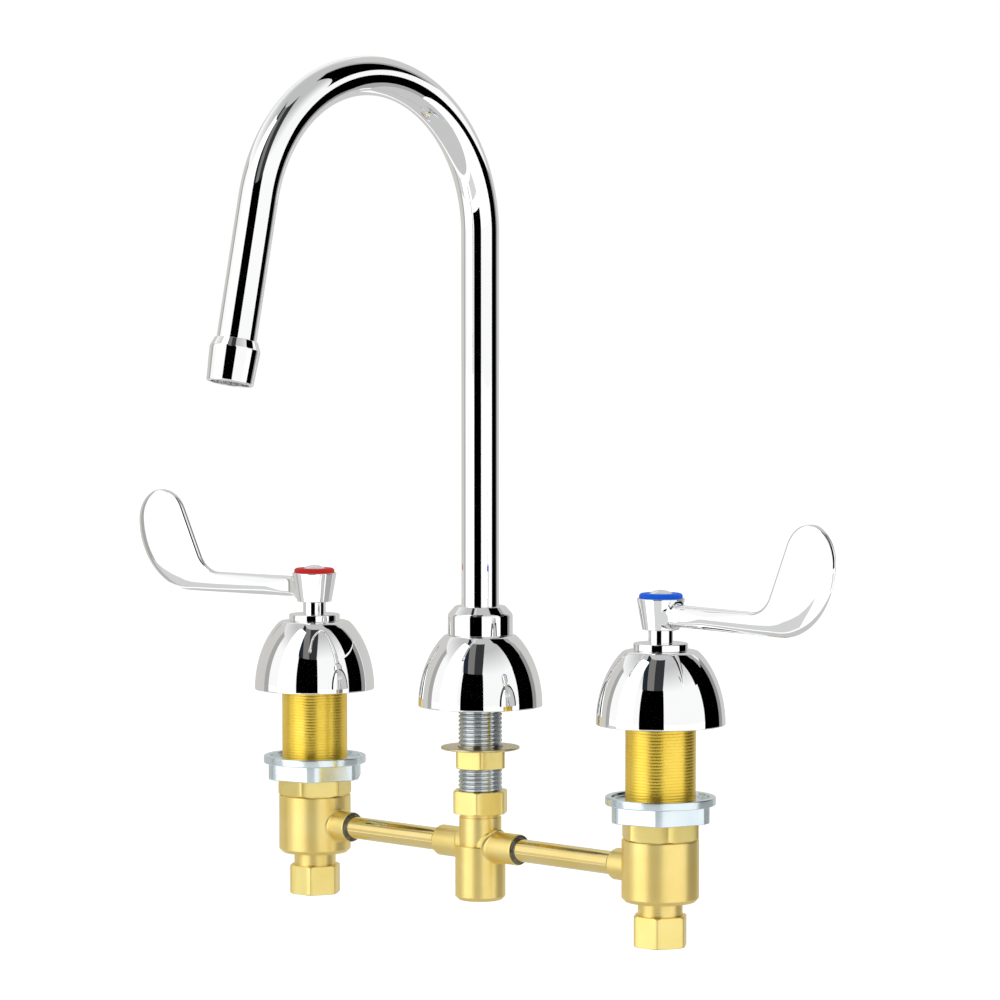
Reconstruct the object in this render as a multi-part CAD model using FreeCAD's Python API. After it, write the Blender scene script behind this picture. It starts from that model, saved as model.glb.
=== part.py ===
"""Widespread basin faucet: two wrist-blade valves and a swinging gooseneck spout, joined by a tee below.

Millimetres. Z is up. The origin is on the deck, on the spout's axis; the hot valve stands at -X, the cold valve
at +X, and the spout reaches towards -Y, where the user stands. Each piece is its own solid in its own file.
"""
import FreeCAD, Part
import math
import os

Vector = FreeCAD.Vector

# Driving sizes: the row
valve_centres = 203.2        # from the hot valve's axis to the cold valve's, 8 in
handle_rest_turn = 7.5       # degrees that each closed handle points forwards of the row
slide_fit = 0.05             # radial room of a shaft that turns in its hole
thread_fit = 0.06            # radial room between a nut and the thread that it runs on
push_fit = 0.02              # radial room of a seal or disc in its seat
hole_room = 0.3              # radial room of a hole that a piece only passes through
end_room = 0.1               # room between the ends of pieces that don't bear on each other
edge_break = 0.3             # small chamfer on turned edges
past = 1.0                   # how far a cutting shape stands out past the piece that it cuts

# Driving sizes: domes over the deck holes
dome_radius = 26.2
dome_height = 30.0
dome_crown_rise = 6.6        # how far the dome's ellipse would reach above its flat top
dome_wall = 1.2
dome_shoulder = 2.0          # rounding where the flat top meets the side
dome_rim_round = 0.4

# Driving sizes: gooseneck spout
spout_tube_radius = 7.94     # 5/8 in tube
spout_tube_wall = 1.2
spout_arc_radius = 63.5
spout_riser = 156.1          # from the nut's top to where the arch begins
spout_lean = 12.0            # degrees that the outlet leg leans away from the riser
spout_leg = 57.5             # straight length below the arch
spout_socket_depth = 10.0    # how far the socket's floor lies below the dome's top
spout_foot_gap = 1.0         # room under the tube's foot in its socket
spout_bush_height = 16.4
spout_bush_wall = 2.2
spout_ring_section = 1.9     # the two seals on the swivel
spout_ring_room = 0.2        # how much higher the seals' grooves are than the seals
thrust_ring_height = 2.2
spout_head_wall = 2.4
spout_nut_radius = 13.7
spout_nut_height = 12.2      # above the dome
spout_nut_cone = 3.6         # height of the cone at the nut's top
spout_nut_lip = 10.8         # radius where the cone ends
spout_nut_roof = 3.4
spout_nut_edge = 0.5         # chamfer round the nut's top

# Driving sizes: aerator
aerator_radius = 10.1
aerator_end_radius = 9.4
aerator_length = 17.5
aerator_neck_radius = 8.6
aerator_neck = 3.6           # height of the cone at the aerator's top
aerator_overlap = 7.0        # length of the spout tube inside the aerator
aerator_wall = 1.3
aerator_lip = 1.0
aerator_edge = 0.6           # chamfer round the aerator's end
aerator_cup_wall = 1.2       # side wall of the flow insert
aerator_cup_floor = 1.6
aerator_cup_holes = 8
aerator_insert_height = 5.2
aerator_seal_height = 1.5
aerator_screen_height = 0.8
aerator_hole_radius = 0.55
aerator_hole_spacing = 1.76  # between the rings of holes in the screen

# Driving sizes: threaded spout shank and what clamps it
shank_radius = 9.2
shank_bore = 6.0
shank_pitch = 1.814          # 14 threads to the inch
shank_thread_depth = 0.85
shank_bottom = -40.5
shank_edge = 0.6             # chamfer at the foot of the thread
shank_plain = 4.0            # plain length between the thread and the head
shank_flare = 1.2            # height of the cone under the head
washer_radius = 16.6
washer_height = 1.0
washer_top = -17.14
locknut_flats = 20.4
locknut_height = 8.0
locknut_turn = 16.2
coupling_flats = 21.7
coupling_grip = 4.8          # how far the coupling nut reaches up the shank
coupling_height = 9.6
coupling_turn = 6.7
hex_face_reach = 0.6         # how far the turned face of a hexagon nut reaches past its flats

# Driving sizes: tee and link tubes
tee_neck_radius = 8.9
tee_radius = 10.6
tee_step_rise = 0.2          # the step between neck and body stands this far above the link tubes' axis
tee_drop = 22.9              # from the link tubes' axis to the tee's foot
tee_edge = 0.4
tee_groove_gap = 0.8         # from the coupling nut to its snap ring's groove, and the groove's height
tee_groove_depth = 0.5
tee_chamfer = 1.4
tee_gasket_height = 1.5
tee_floor = 7.0
tee_reach = 23.0             # from the tee's axis to the end of its side boss
link_height = -59.0
link_radius = 4.76           # 3/8 in tube
link_wall = 0.9
link_socket_depth = 6.5
link_end_gap = 0.2           # room between the tube's end and the bottom of its socket
boss_radius = 6.5
boss_chamfer = 0.6
solder_height = 0.7
solder_radius = 6.1

# Driving sizes: valve below the deck
sleeve_radius = 14.29        # 1-1/8 in threaded sleeve
sleeve_pitch = 1.27          # 20 threads to the inch
sleeve_thread_depth = 0.3
sleeve_neck = 8.0            # the plain neck starts this far below the dome's top
sleeve_shoulder = 1.0        # chamfer between thread and neck
sleeve_relief = 11.3
sleeve_relief_depth = 18.0   # the wide bore ends this far below the dome's top
sleeve_spigot_radius = 12.8
sleeve_spigot = 7.5          # how far the sleeve goes into the body
sleeve_hex_flats = 28.7
sleeve_hex_height = 7.45
sleeve_hex_turns = {"hot": -5.0, "cold": 23.8}
body_radius = 15.7
body_height = 25.2
body_chamfer = 1.5
body_chamber = 11.5
body_edge = 0.5
body_floor = 5.8
body_boss_reach = 24.0
inlet_neck_radius = 9.1
inlet_neck = 10.2
supply_radius = 6.4          # takes a 1/2 in supply tube
supply_depth = 13.0          # how far the supply tube goes in
supply_throat = 4.6
inlet_nut_flats = 20.6
inlet_nut_gap = 5.6          # bare thread between the body and the nut
inlet_nut_height = 12.6
inlet_nut_floor = 3.6
inlet_nut_turn = 6.0
ferrule_height = 3.9
ferrule_wall = 1.9
ferrule_cone = 1.0
flange_radius = 22.4
flange_top = -29.1
flange_height = 3.35
flange_recess_radius = 19.6
flange_recess = 1.4
flange_nut_flats = 39.4
flange_nut_corners = 42.9    # across the cut corners of the nut
flange_nut_height = 6.7
flange_nut_turn = 12.6

# Driving sizes: cartridge
cartridge_radius = 8.4
cartridge_gap = 0.2          # room between the cartridge and the collar's roof
cartridge_cavity = 7.0
cartridge_cavity_height = 14.0
cartridge_window = 7.0       # height of the side windows
cartridge_window_width = 8.0
cartridge_window_rise = 0.5
disc_height = 2.5
disc_port = 2.0
disc_port_offset = 3.9
seat_seal_bore = 5.4
seat_seal_height = 2.0
stem_radius = 5.0
stem_driver_height = 3.4
stem_neck = 5.3              # bare stem between the collar and the handle
stem_square = 6.4
stem_square_height = 6.6
stem_groove_depth = 1.0
stem_low_seal = 10.0         # above the cartridge's cavity
stem_high_seal = 13.4        # below the cartridge's top
cartridge_seal_drop = 9.4    # below the cartridge's top
seal_groove_depth = 1.1
seal_groove_height = 2.2
collar_radius = 11.1
collar_height = 3.0
collar_roof = 1.4
collar_round = 0.5
neck_radius = 9.9

# Driving sizes: wrist-blade handle
hub_bottom_radius = 7.5
hub_top_radius = 9.8
hub_height = 12.8
hub_round = 0.5
blade_reach = 102.0          # from the valve's axis to the blade's far edge, a 4 in blade
blade_height = 44.9          # from the arm's underside to the blade's top
blade_tip_radius = 14.0
blade_slope = 65.0           # degrees of the blade's inner edge above level
blade_crotch = 12.0          # radius between the arm's top and the blade
blade_thickness = 3.6
blade_edge_round = 1.5
arm_rise = 1.7               # the arm's underside above the hub's foot
arm_height = 9.0
root_thickness = 7.2
root_height = 11.8
root_length = 34.0
root_corner = 2.0
index_ring_radius = 8.8
index_ring_bore = 4.7
index_ring_height = 2.9
index_ring_proud = 1.9
index_ring_bevel = 0.7
cap_crown = 1.4
cap_plug_height = 0.8
cap_recess = 0.6             # radial room round the screw's head, which the cap's plug fills
hub_web = 2.0
screw_radius = 2.0
screw_head_radius = 3.6
screw_head_height = 2.2
screw_length = 9.0
screw_socket = 1.25
screw_socket_floor = 0.7
screw_hole_room = 0.2
screw_tip_room = 0.5

# Places that follow from the sizes above
hot_x = -valve_centres / 2
cold_x = valve_centres / 2
dome_crown = dome_height + dome_crown_rise
spout_socket_floor = dome_height - spout_socket_depth
spout_nut_top = dome_height + spout_nut_height
spout_arc_height = spout_nut_top + spout_riser
spout_head_bore = spout_tube_radius + spout_bush_wall + slide_fit
spout_head_radius = spout_head_bore + spout_head_wall
spout_head_top = spout_socket_floor + spout_bush_height + end_room
thrust_ring_top = spout_head_top + thrust_ring_height
spout_reach_end = math.radians(180.0 - spout_lean)
coupling_top = shank_bottom + coupling_grip
tee_step = link_height + tee_step_rise
tee_bottom = link_height - tee_drop
sleeve_hex_top = flange_top - flange_height - flange_nut_height
body_top = sleeve_hex_top - sleeve_hex_height
body_bottom = body_top - body_height
body_seat = body_bottom + body_floor
inlet_neck_bottom = body_bottom - inlet_neck
inlet_nut_top = body_bottom - inlet_nut_gap
inlet_nut_bottom = inlet_nut_top - inlet_nut_height
supply_stop = inlet_nut_bottom + supply_depth
collar_top = dome_height + collar_height
sleeve_top = dome_height - sleeve_neck
sleeve_relief_top = dome_height - sleeve_relief_depth
disc_radius = cartridge_cavity - slide_fit
cartridge_bottom = body_seat + seat_seal_height
cartridge_cavity_top = cartridge_bottom + cartridge_cavity_height
cartridge_top = collar_top - collar_roof - cartridge_gap
cartridge_seal_height = cartridge_top - cartridge_seal_drop
fixed_disc_bottom = cartridge_bottom
moving_disc_bottom = fixed_disc_bottom + disc_height
stem_bottom = moving_disc_bottom + disc_height
stem_seal_heights = (cartridge_cavity_top + stem_low_seal, cartridge_top - stem_high_seal)
stem_shoulder = collar_top + stem_neck
stem_top = stem_shoulder + stem_square_height
arm_bottom = stem_shoulder + arm_rise
hub_top = stem_shoulder + hub_height
blade_top = arm_bottom + blade_height
sleeve_bottom = body_top - sleeve_spigot
web_top = stem_top + end_room + hub_web
ring_floor = hub_top + index_ring_proud - index_ring_height
cap_radius = index_ring_bore - push_fit
tee_top = shank_bottom - tee_gasket_height


def face_between(points):
    """Flat face in the XZ plane from (radius, height) corners."""
    corners = [Vector(r, 0, z) for r, z in points]
    return Part.Face(Part.makePolygon(corners + corners[:1]))


def turned(points):
    """Solid turned about Z from (radius, height) corners."""
    return face_between(points).revolve(Vector(0, 0, 0), Vector(0, 0, 1), 360)


def rod(radius, bottom, top):
    return Part.makeCylinder(radius, top - bottom, Vector(0, 0, bottom))


def ring(outer, inner, bottom, top):
    return rod(outer, bottom, top).cut(rod(inner, bottom, top))


def square_bar(width, bottom, top):
    return Part.makeBox(width, width, top - bottom, Vector(-width / 2, -width / 2, bottom))


def bar_x(radius, start, end, height):
    """Round bar along X at a height."""
    low, high = min(start, end), max(start, end)
    return Part.makeCylinder(radius, high - low, Vector(low, 0, height), Vector(1, 0, 0))


def seal_ring(shaft_radius, section, height):
    """Round rubber ring whose bore is the shaft's radius."""
    torus = Part.makeTorus(shaft_radius + section / 2, section / 2)
    torus.translate(Vector(0, 0, height))
    return torus


def hexagon(flats, bottom, top, turn):
    """Six-sided prism with one corner turned from +X by a number of degrees."""
    radius = flats / math.sqrt(3)
    angles = [math.radians(turn + 60 * i) for i in range(6)]
    corners = [Vector(radius * math.cos(a), radius * math.sin(a), bottom) for a in angles]
    return Part.Face(Part.makePolygon(corners + corners[:1])).extrude(Vector(0, 0, top - bottom))


def chamfered_hexagon(flats, bottom, top, turn):
    """Hexagon whose corners are turned off at 30 degrees at both ends."""
    corner = flats / math.sqrt(3)
    inner = flats / 2 + hex_face_reach
    drop = (corner - inner) * math.tan(math.radians(30))
    envelope = turned([(0, bottom), (inner, bottom), (corner, bottom + drop),
                       (corner, top - drop), (inner, top), (0, top)])
    return hexagon(flats, bottom, top, turn).common(envelope)


def thread_points(radius, depth, pitch, bottom, top):
    """Corners of a thread's side view, from bottom to top, as V grooves with narrow crests."""
    count = max(1, int((top - bottom) / pitch))
    step = (top - bottom) / count
    crest = step / 5
    points = []
    for i in range(count):
        low = bottom + i * step
        points += [(radius, low), (radius, low + crest), (radius - depth, low + (step + crest) / 2)]
    return points + [(radius, top)]


def at_valves(make):
    """The same piece at the hot valve, and turned half round at the cold valve."""
    hot = make.copy()
    hot.translate(Vector(hot_x, 0, 0))
    cold = make.copy()
    cold.rotate(Vector(0, 0, 0), Vector(0, 0, 1), 180)
    cold.translate(Vector(cold_x, 0, 0))
    return {"hot": hot, "cold": cold}


def write(name, shape):
    shape.exportStep(os.path.join("parts", name + ".step"))


def write_pair(name, shape):
    for side, piece in at_valves(shape).items():
        write(side + "_" + name, piece)


def dome(hole_radius):
    """Bell-shaped cover: an elliptical shell with a flat top and a hole for what passes through."""
    def side(radius, crown, low, high):
        curve = Part.Ellipse(Vector(0, 0, crown), Vector(radius, 0, 0), Vector(0, 0, 0))
        return Part.ArcOfEllipse(curve, math.acos(high / crown), math.acos(low / crown)).toShape()

    outer = side(dome_radius, dome_crown, 0, dome_height)
    inner_top = dome_height - dome_wall
    inner = side(dome_radius - dome_wall, dome_crown - dome_wall, 0, inner_top)
    top_out, rim_out = outer.Vertexes[0].Point, outer.Vertexes[1].Point
    top_in, rim_in = inner.Vertexes[0].Point, inner.Vertexes[1].Point
    hole_out, hole_in = Vector(hole_radius, 0, dome_height), Vector(hole_radius, 0, inner_top)
    outline = Part.Wire([outer, Part.makeLine(rim_out, rim_in), inner, Part.makeLine(top_in, hole_in),
                         Part.makeLine(hole_in, hole_out), Part.makeLine(hole_out, top_out)])
    shell = Part.Face(outline).revolve(Vector(0, 0, 0), Vector(0, 0, 1), 360)

    def circle_at(radius, height):
        return [e for e in shell.Edges if isinstance(e.Curve, Part.Circle)
                and abs(e.Curve.Radius - radius) < 0.01 and abs(e.Curve.Center.z - height) < 0.01]

    shell = shell.makeFillet(dome_shoulder, circle_at(top_out.x, dome_height))
    return shell.makeFillet(dome_rim_round, circle_at(dome_radius, 0))


def spout_point(angle):
    """Point on the arch's centre line, from the riser at 0 to the leg."""
    forwards = spout_arc_radius * (1 - math.cos(angle))
    return Vector(0, -forwards, spout_arc_height + spout_arc_radius * math.sin(angle))


def spout_outlet():
    """End of the tube's centre line, and the way that the water leaves."""
    lean = math.radians(spout_lean)
    way = Vector(0, -math.sin(lean), -math.cos(lean))
    return spout_point(spout_reach_end) + way * spout_leg, way


def spout_tube():
    """Gooseneck: riser, arch and leaning leg of one bent tube."""
    foot = Vector(0, 0, spout_socket_floor + spout_foot_gap)
    outlet, way = spout_outlet()
    end = outlet + way * aerator_overlap
    arch = Part.Arc(spout_point(0), spout_point(spout_reach_end / 2), spout_point(spout_reach_end))
    path = Part.Wire([Part.makeLine(foot, spout_point(0)), arch.toShape(),
                      Part.makeLine(spout_point(spout_reach_end), end)])
    outer = Part.Wire(Part.makeCircle(spout_tube_radius, foot, Vector(0, 0, 1)))
    inner = Part.Wire(Part.makeCircle(spout_tube_radius - spout_tube_wall, foot, Vector(0, 0, 1)))
    return path.makePipeShell([outer], True, False).cut(path.makePipeShell([inner], True, False))


def spout_bushing():
    """Brass bush on the foot of the tube, with two grooves for its seals."""
    top = spout_socket_floor + spout_bush_height
    outer = spout_head_bore - slide_fit
    bush = ring(outer, spout_tube_radius, spout_socket_floor + hole_room, top)
    for height in spout_seal_heights():
        half = (spout_ring_section + spout_ring_room) / 2
        bush = bush.cut(ring(outer + past, spout_head_bore - spout_ring_section, height - half, height + half))
    return bush


def spout_seal_heights():
    third = spout_bush_height / 3
    return [spout_socket_floor + third, spout_socket_floor + 2 * third]


def spout_seals():
    shaft = spout_head_bore - spout_ring_section
    return Part.makeCompound([seal_ring(shaft, spout_ring_section - push_fit, h) for h in spout_seal_heights()])


def thrust_ring():
    """Plastic ring that keeps the bush down in its socket."""
    return ring(spout_head_radius - hole_room, spout_tube_radius + slide_fit, spout_head_top, thrust_ring_top)


def spout_nut():
    """Bell-shaped nut with a cone on top, run down on the shank's head over the dome."""
    roof = spout_nut_top - spout_nut_roof
    nut = turned([(0, dome_height), (spout_nut_radius - edge_break, dome_height),
                  (spout_nut_radius, dome_height + edge_break), (spout_nut_radius, spout_nut_top - spout_nut_cone),
                  (spout_nut_lip, spout_nut_top - spout_nut_edge), (spout_nut_lip - spout_nut_edge, spout_nut_top),
                  (0, spout_nut_top)])
    nut = nut.cut(rod(spout_head_radius + thread_fit, dome_height - past, roof))
    return nut.cut(rod(spout_tube_radius + 2 * slide_fit, roof - past, spout_nut_top + past))


def spout_shank():
    """Threaded shank with the wide head that the spout turns in."""
    shoulder = spout_socket_floor - spout_head_wall
    profile = [(shank_bore, shank_bottom), (shank_radius - shank_edge, shank_bottom)]
    profile += thread_points(shank_radius, shank_thread_depth, shank_pitch,
                             shank_bottom + shank_edge, shoulder - shank_plain)
    profile += [(shank_radius, shoulder), (spout_head_radius, shoulder + shank_flare),
                (spout_head_radius, spout_head_top), (spout_head_bore, spout_head_top),
                (spout_head_bore, spout_socket_floor), (shank_bore, spout_socket_floor)]
    return turned(profile)


def shank_washer():
    return ring(washer_radius, shank_radius + hole_room, washer_top - washer_height, washer_top)


def shank_locknut():
    top = washer_top - washer_height
    nut = chamfered_hexagon(locknut_flats, top - locknut_height, top, locknut_turn)
    return nut.cut(rod(shank_radius + thread_fit, top - locknut_height, top))


def coupling_nut():
    bottom = coupling_top - coupling_height
    nut = chamfered_hexagon(coupling_flats, bottom, coupling_top, coupling_turn)
    return nut.cut(rod(shank_radius + thread_fit, bottom, coupling_top))


def tee_gasket():
    return ring(tee_neck_radius - hole_room, shank_bore, tee_top, shank_bottom)


def side_boss(reach, sign):
    """Boss along X with a chamfered end, and the socket and port inside it."""
    boss = bar_x(boss_radius, 0, sign * (reach - boss_chamfer), link_height)
    tip = Part.makeCone(boss_radius, boss_radius - boss_chamfer, boss_chamfer,
                        Vector(sign * (reach - boss_chamfer), 0, link_height), Vector(sign, 0, 0))
    socket_start, socket_end = sign * (reach - link_socket_depth), sign * (reach + past)
    socket = bar_x(link_radius + thread_fit, socket_start, socket_end, link_height)
    port = bar_x(link_radius - link_wall, 0, sign * reach, link_height)
    return boss.fuse(tip), socket.fuse(port)


def tee_body():
    """Casting that takes hot and cold from its sides and sends the mix up the shank."""
    groove_top = coupling_top - coupling_height - tee_groove_gap
    groove_low = groove_top - tee_groove_gap
    groove = tee_neck_radius - tee_groove_depth
    body = turned([(0, tee_bottom), (tee_radius - tee_chamfer, tee_bottom), (tee_radius, tee_bottom + tee_chamfer),
                   (tee_radius, tee_step - tee_edge), (tee_radius - tee_edge, tee_step),
                   (tee_neck_radius, tee_step), (tee_neck_radius, groove_low), (groove, groove_low),
                   (groove, groove_top), (tee_neck_radius, groove_top), (tee_neck_radius, tee_top), (0, tee_top)])
    holes = rod(shank_bore, tee_bottom + tee_floor, tee_top + past)
    for sign in (-1, 1):
        boss, hole = side_boss(tee_reach, sign)
        body = body.fuse(boss)
        holes = holes.fuse(hole)
    return body.cut(holes).removeSplitter()


def link_tube(sign):
    """Straight tube from the tee's socket to the valve's socket."""
    start = sign * (tee_reach - link_socket_depth + link_end_gap)
    end = sign * (valve_centres / 2 - body_boss_reach + link_socket_depth - link_end_gap)
    outer = bar_x(link_radius, start, end, link_height)
    return outer.cut(bar_x(link_radius - link_wall, start, end, link_height))


def solder_rings():
    """Rings of solder on the four boss ends, round the tubes."""
    rings = []
    for sign in (-1, 1):
        valve_end = valve_centres / 2 - body_boss_reach
        for low, high in ((tee_reach, tee_reach + solder_height), (valve_end - solder_height, valve_end)):
            outside = bar_x(solder_radius, sign * low, sign * high, link_height)
            rings.append(outside.cut(bar_x(link_radius, sign * low, sign * high, link_height)))
    return Part.makeCompound(rings)


def valve_body():
    """Brass casting: round chamber, side boss and threaded inlet neck."""
    body = turned([(0, inlet_neck_bottom), (inlet_neck_radius, inlet_neck_bottom),
                   (inlet_neck_radius, body_bottom), (body_radius - body_chamfer, body_bottom),
                   (body_radius, body_bottom + body_chamfer), (body_radius, body_top - body_edge),
                   (body_radius - body_edge, body_top), (0, body_top)])
    boss, port = side_boss(body_boss_reach, 1)
    body = body.fuse(boss)
    body = body.cut(port.cut(rod(body_chamber - past, body_bottom, body_top)))
    body = body.cut(rod(body_chamber, body_seat, body_top))
    body = body.cut(rod(sleeve_spigot_radius + thread_fit, sleeve_bottom, body_top + past))
    body = body.cut(rod(supply_throat, inlet_neck_bottom - past, body_seat + past))
    return body.cut(rod(supply_radius, inlet_neck_bottom - past, supply_stop)).removeSplitter()


def valve_sleeve(hex_turn):
    """Threaded sleeve through the deck: hexagon and spigot at its foot, a neck for the collar on top."""
    bore = cartridge_radius + slide_fit
    profile = [(sleeve_relief, sleeve_bottom), (sleeve_spigot_radius, sleeve_bottom),
               (sleeve_spigot_radius, sleeve_hex_top)]
    profile += thread_points(sleeve_radius, sleeve_thread_depth, sleeve_pitch,
                             sleeve_hex_top, sleeve_top - sleeve_shoulder)
    profile += [(sleeve_radius - sleeve_shoulder, sleeve_top), (neck_radius, sleeve_top),
                (neck_radius, cartridge_top), (bore, cartridge_top), (bore, sleeve_relief_top),
                (sleeve_relief, sleeve_relief_top)]
    wrench = chamfered_hexagon(sleeve_hex_flats, body_top, sleeve_hex_top, hex_turn)
    wrench = wrench.cut(rod(sleeve_relief, body_top, sleeve_hex_top))
    return turned(profile).fuse(wrench).removeSplitter()


def flange_nut():
    """Zinc clamping nut: a round flange with a recess in its top over a hexagon with cut corners."""
    bottom = flange_top - flange_height
    rim = turned([(0, bottom), (flange_radius - edge_break, bottom), (flange_radius, bottom + edge_break),
                  (flange_radius, flange_top - edge_break), (flange_radius - edge_break, flange_top),
                  (0, flange_top)])
    rim = rim.cut(rod(flange_recess_radius, flange_top - flange_recess, flange_top + past))
    foot = bottom - flange_nut_height
    flats = hexagon(flange_nut_flats, foot, bottom, flange_nut_turn)
    cut_corners = hexagon(flange_nut_corners, foot, bottom, flange_nut_turn + 30)
    nut = rim.fuse(flats.common(cut_corners))
    return nut.cut(rod(sleeve_radius + thread_fit, foot - past, flange_top + past)).removeSplitter()


def inlet_nut():
    """Compression nut that takes the supply tube from below."""
    nut = chamfered_hexagon(inlet_nut_flats, inlet_nut_bottom, inlet_nut_top, inlet_nut_turn)
    nut = nut.cut(rod(inlet_neck_radius + thread_fit, inlet_nut_bottom + inlet_nut_floor, inlet_nut_top + past))
    return nut.cut(rod(supply_radius, inlet_nut_bottom - past, inlet_nut_top))


def ferrule():
    """Soft brass ring that the nut squeezes onto the supply tube."""
    low = inlet_nut_bottom + inlet_nut_floor + end_room
    high = low + ferrule_height
    outer = supply_radius + ferrule_wall
    middle = supply_radius + ferrule_wall / 2
    return turned([(supply_radius, low), (middle, low), (outer, low + ferrule_cone),
                   (outer, high - ferrule_cone), (middle, high), (supply_radius, high)])


def cartridge_housing():
    """Brass tube that holds the discs at its foot and guides the stem."""
    groove_low = cartridge_seal_height - seal_groove_height / 2
    groove_high = cartridge_seal_height + seal_groove_height / 2
    groove = cartridge_radius - seal_groove_depth
    bore = stem_radius + slide_fit
    body = turned([(cartridge_cavity, cartridge_bottom), (cartridge_radius, cartridge_bottom),
                   (cartridge_radius, groove_low), (groove, groove_low), (groove, groove_high),
                   (cartridge_radius, groove_high), (cartridge_radius, cartridge_top), (bore, cartridge_top),
                   (bore, cartridge_cavity_top), (cartridge_cavity, cartridge_cavity_top)])
    window_low = moving_disc_bottom + cartridge_window_rise
    window = Part.makeBox(4 * cartridge_radius, cartridge_window_width, cartridge_window,
                          Vector(-2 * cartridge_radius, -cartridge_window_width / 2, window_low))
    return body.cut(window)


def disc_ports(bottom):
    low = bottom - past
    ports = [Part.makeCylinder(disc_port, disc_height + 2 * past, Vector(x, 0, low))
             for x in (-disc_port_offset, disc_port_offset)]
    return ports[0].fuse(ports[1])


def fixed_disc():
    """Ceramic disc with two ports, held still."""
    return rod(disc_radius, fixed_disc_bottom, moving_disc_bottom).cut(disc_ports(fixed_disc_bottom))


def moving_disc():
    """Ceramic disc that the stem turns: its ports stand across the fixed ones when the valve is shut."""
    ports = disc_ports(moving_disc_bottom)
    ports.rotate(Vector(0, 0, 0), Vector(0, 0, 1), 90)
    return rod(disc_radius, moving_disc_bottom, stem_bottom).cut(ports)


def seat_seal():
    return ring(cartridge_radius, seat_seal_bore, body_seat, cartridge_bottom)


def cartridge_seal():
    section = seal_groove_depth + slide_fit
    return seal_ring(cartridge_radius - seal_groove_depth, section - push_fit, cartridge_seal_height)


def stem():
    """Valve stem: driver at the foot, two seal grooves, a shoulder under the handle and a square on top."""
    shaft = rod(stem_radius, stem_bottom + stem_driver_height / 2, stem_shoulder)
    for height in stem_seal_heights:
        low, high = height - seal_groove_height / 2, height + seal_groove_height / 2
        shaft = shaft.cut(ring(stem_radius + past, stem_radius - stem_groove_depth, low, high))
    shaft = shaft.fuse(rod(disc_radius - slide_fit, stem_bottom, stem_bottom + stem_driver_height))
    shaft = shaft.fuse(square_bar(stem_square, stem_shoulder - past, stem_top))
    return shaft.cut(rod(screw_radius, web_top - screw_length - screw_tip_room, stem_top + past))


def stem_seals():
    section = stem_groove_depth + slide_fit - push_fit
    shaft = stem_radius - stem_groove_depth
    return Part.makeCompound([seal_ring(shaft, section, height) for height in stem_seal_heights])


def collar():
    """Chromed cap nut that clamps the dome and closes the sleeve round the stem."""
    roof = collar_top - collar_roof
    nut = turned([(0, dome_height), (collar_radius - edge_break, dome_height),
                  (collar_radius, dome_height + edge_break), (collar_radius, collar_top - collar_round),
                  (collar_radius - collar_round, collar_top), (0, collar_top)])
    nut = nut.cut(rod(neck_radius + thread_fit, dome_height - past, roof))
    return nut.cut(rod(stem_radius + 2 * slide_fit, roof - past, collar_top + past))


def rounded_rectangle(x, width, height, middle, corner):
    """Wire in the plane across X, its corners rounded."""
    y, z = width / 2, height / 2
    edges = []
    for sy, sz in ((1, 1), (-1, 1), (-1, -1), (1, -1)):
        centre = Vector(x, sy * (y - corner), middle + sz * (z - corner))
        side_a = centre + Vector(0, sy * corner, 0)
        side_b = centre + Vector(0, 0, sz * corner)
        bend = centre + Vector(0, sy, sz) * (corner / math.sqrt(2))
        ends = (side_a, side_b) if sy * sz > 0 else (side_b, side_a)
        edges.append(Part.Arc(ends[0], bend, ends[1]).toShape())
    wire = []
    for i, edge in enumerate(edges):
        following = edges[(i + 1) % 4]
        wire += [edge, Part.makeLine(edge.Vertexes[-1].Point, following.Vertexes[0].Point)]
    return Part.Wire(wire)


def blade_outline():
    """Side view of the arm and the upswept blade, in the XZ plane."""
    tip = Vector(blade_reach - blade_tip_radius, 0, blade_top - blade_tip_radius)
    heel_radius = tip.z - arm_bottom
    heel = Vector(blade_reach - heel_radius, 0, tip.z)
    slope = math.radians(blade_slope)
    away = Vector(-math.sin(slope), 0, math.cos(slope))
    along = Vector(math.cos(slope), 0, math.sin(slope))
    inner_top = tip + away * blade_tip_radius
    arm_top = arm_bottom + arm_height
    elbow = inner_top - along * ((inner_top.z - arm_top) / along.z)
    tangent = blade_crotch * math.tan(slope / 2)
    arm_end, rise = elbow - Vector(tangent, 0, 0), elbow + along * tangent
    crotch = arm_end + Vector(0, 0, blade_crotch)
    crotch_way = Vector(math.sin(slope / 2), 0, -math.cos(slope / 2))
    tip_way = Vector(math.cos(math.radians(75)), 0, math.sin(math.radians(75)))
    heel_way = Vector(math.sqrt(0.5), 0, -math.sqrt(0.5))
    start_low, start_high = Vector(0, 0, arm_bottom), Vector(0, 0, arm_top)
    heel_start = Vector(heel.x, 0, arm_bottom)
    widest = Vector(blade_reach, 0, tip.z)
    return Part.Wire([
        Part.makeLine(start_low, heel_start),
        Part.Arc(heel_start, heel + heel_way * heel_radius, widest).toShape(),
        Part.Arc(widest, tip + tip_way * blade_tip_radius, inner_top).toShape(),
        Part.makeLine(inner_top, rise),
        Part.Arc(rise, crotch + crotch_way * blade_crotch, arm_end).toShape(),
        Part.makeLine(arm_end, start_high),
        Part.makeLine(start_high, start_low)])


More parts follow.
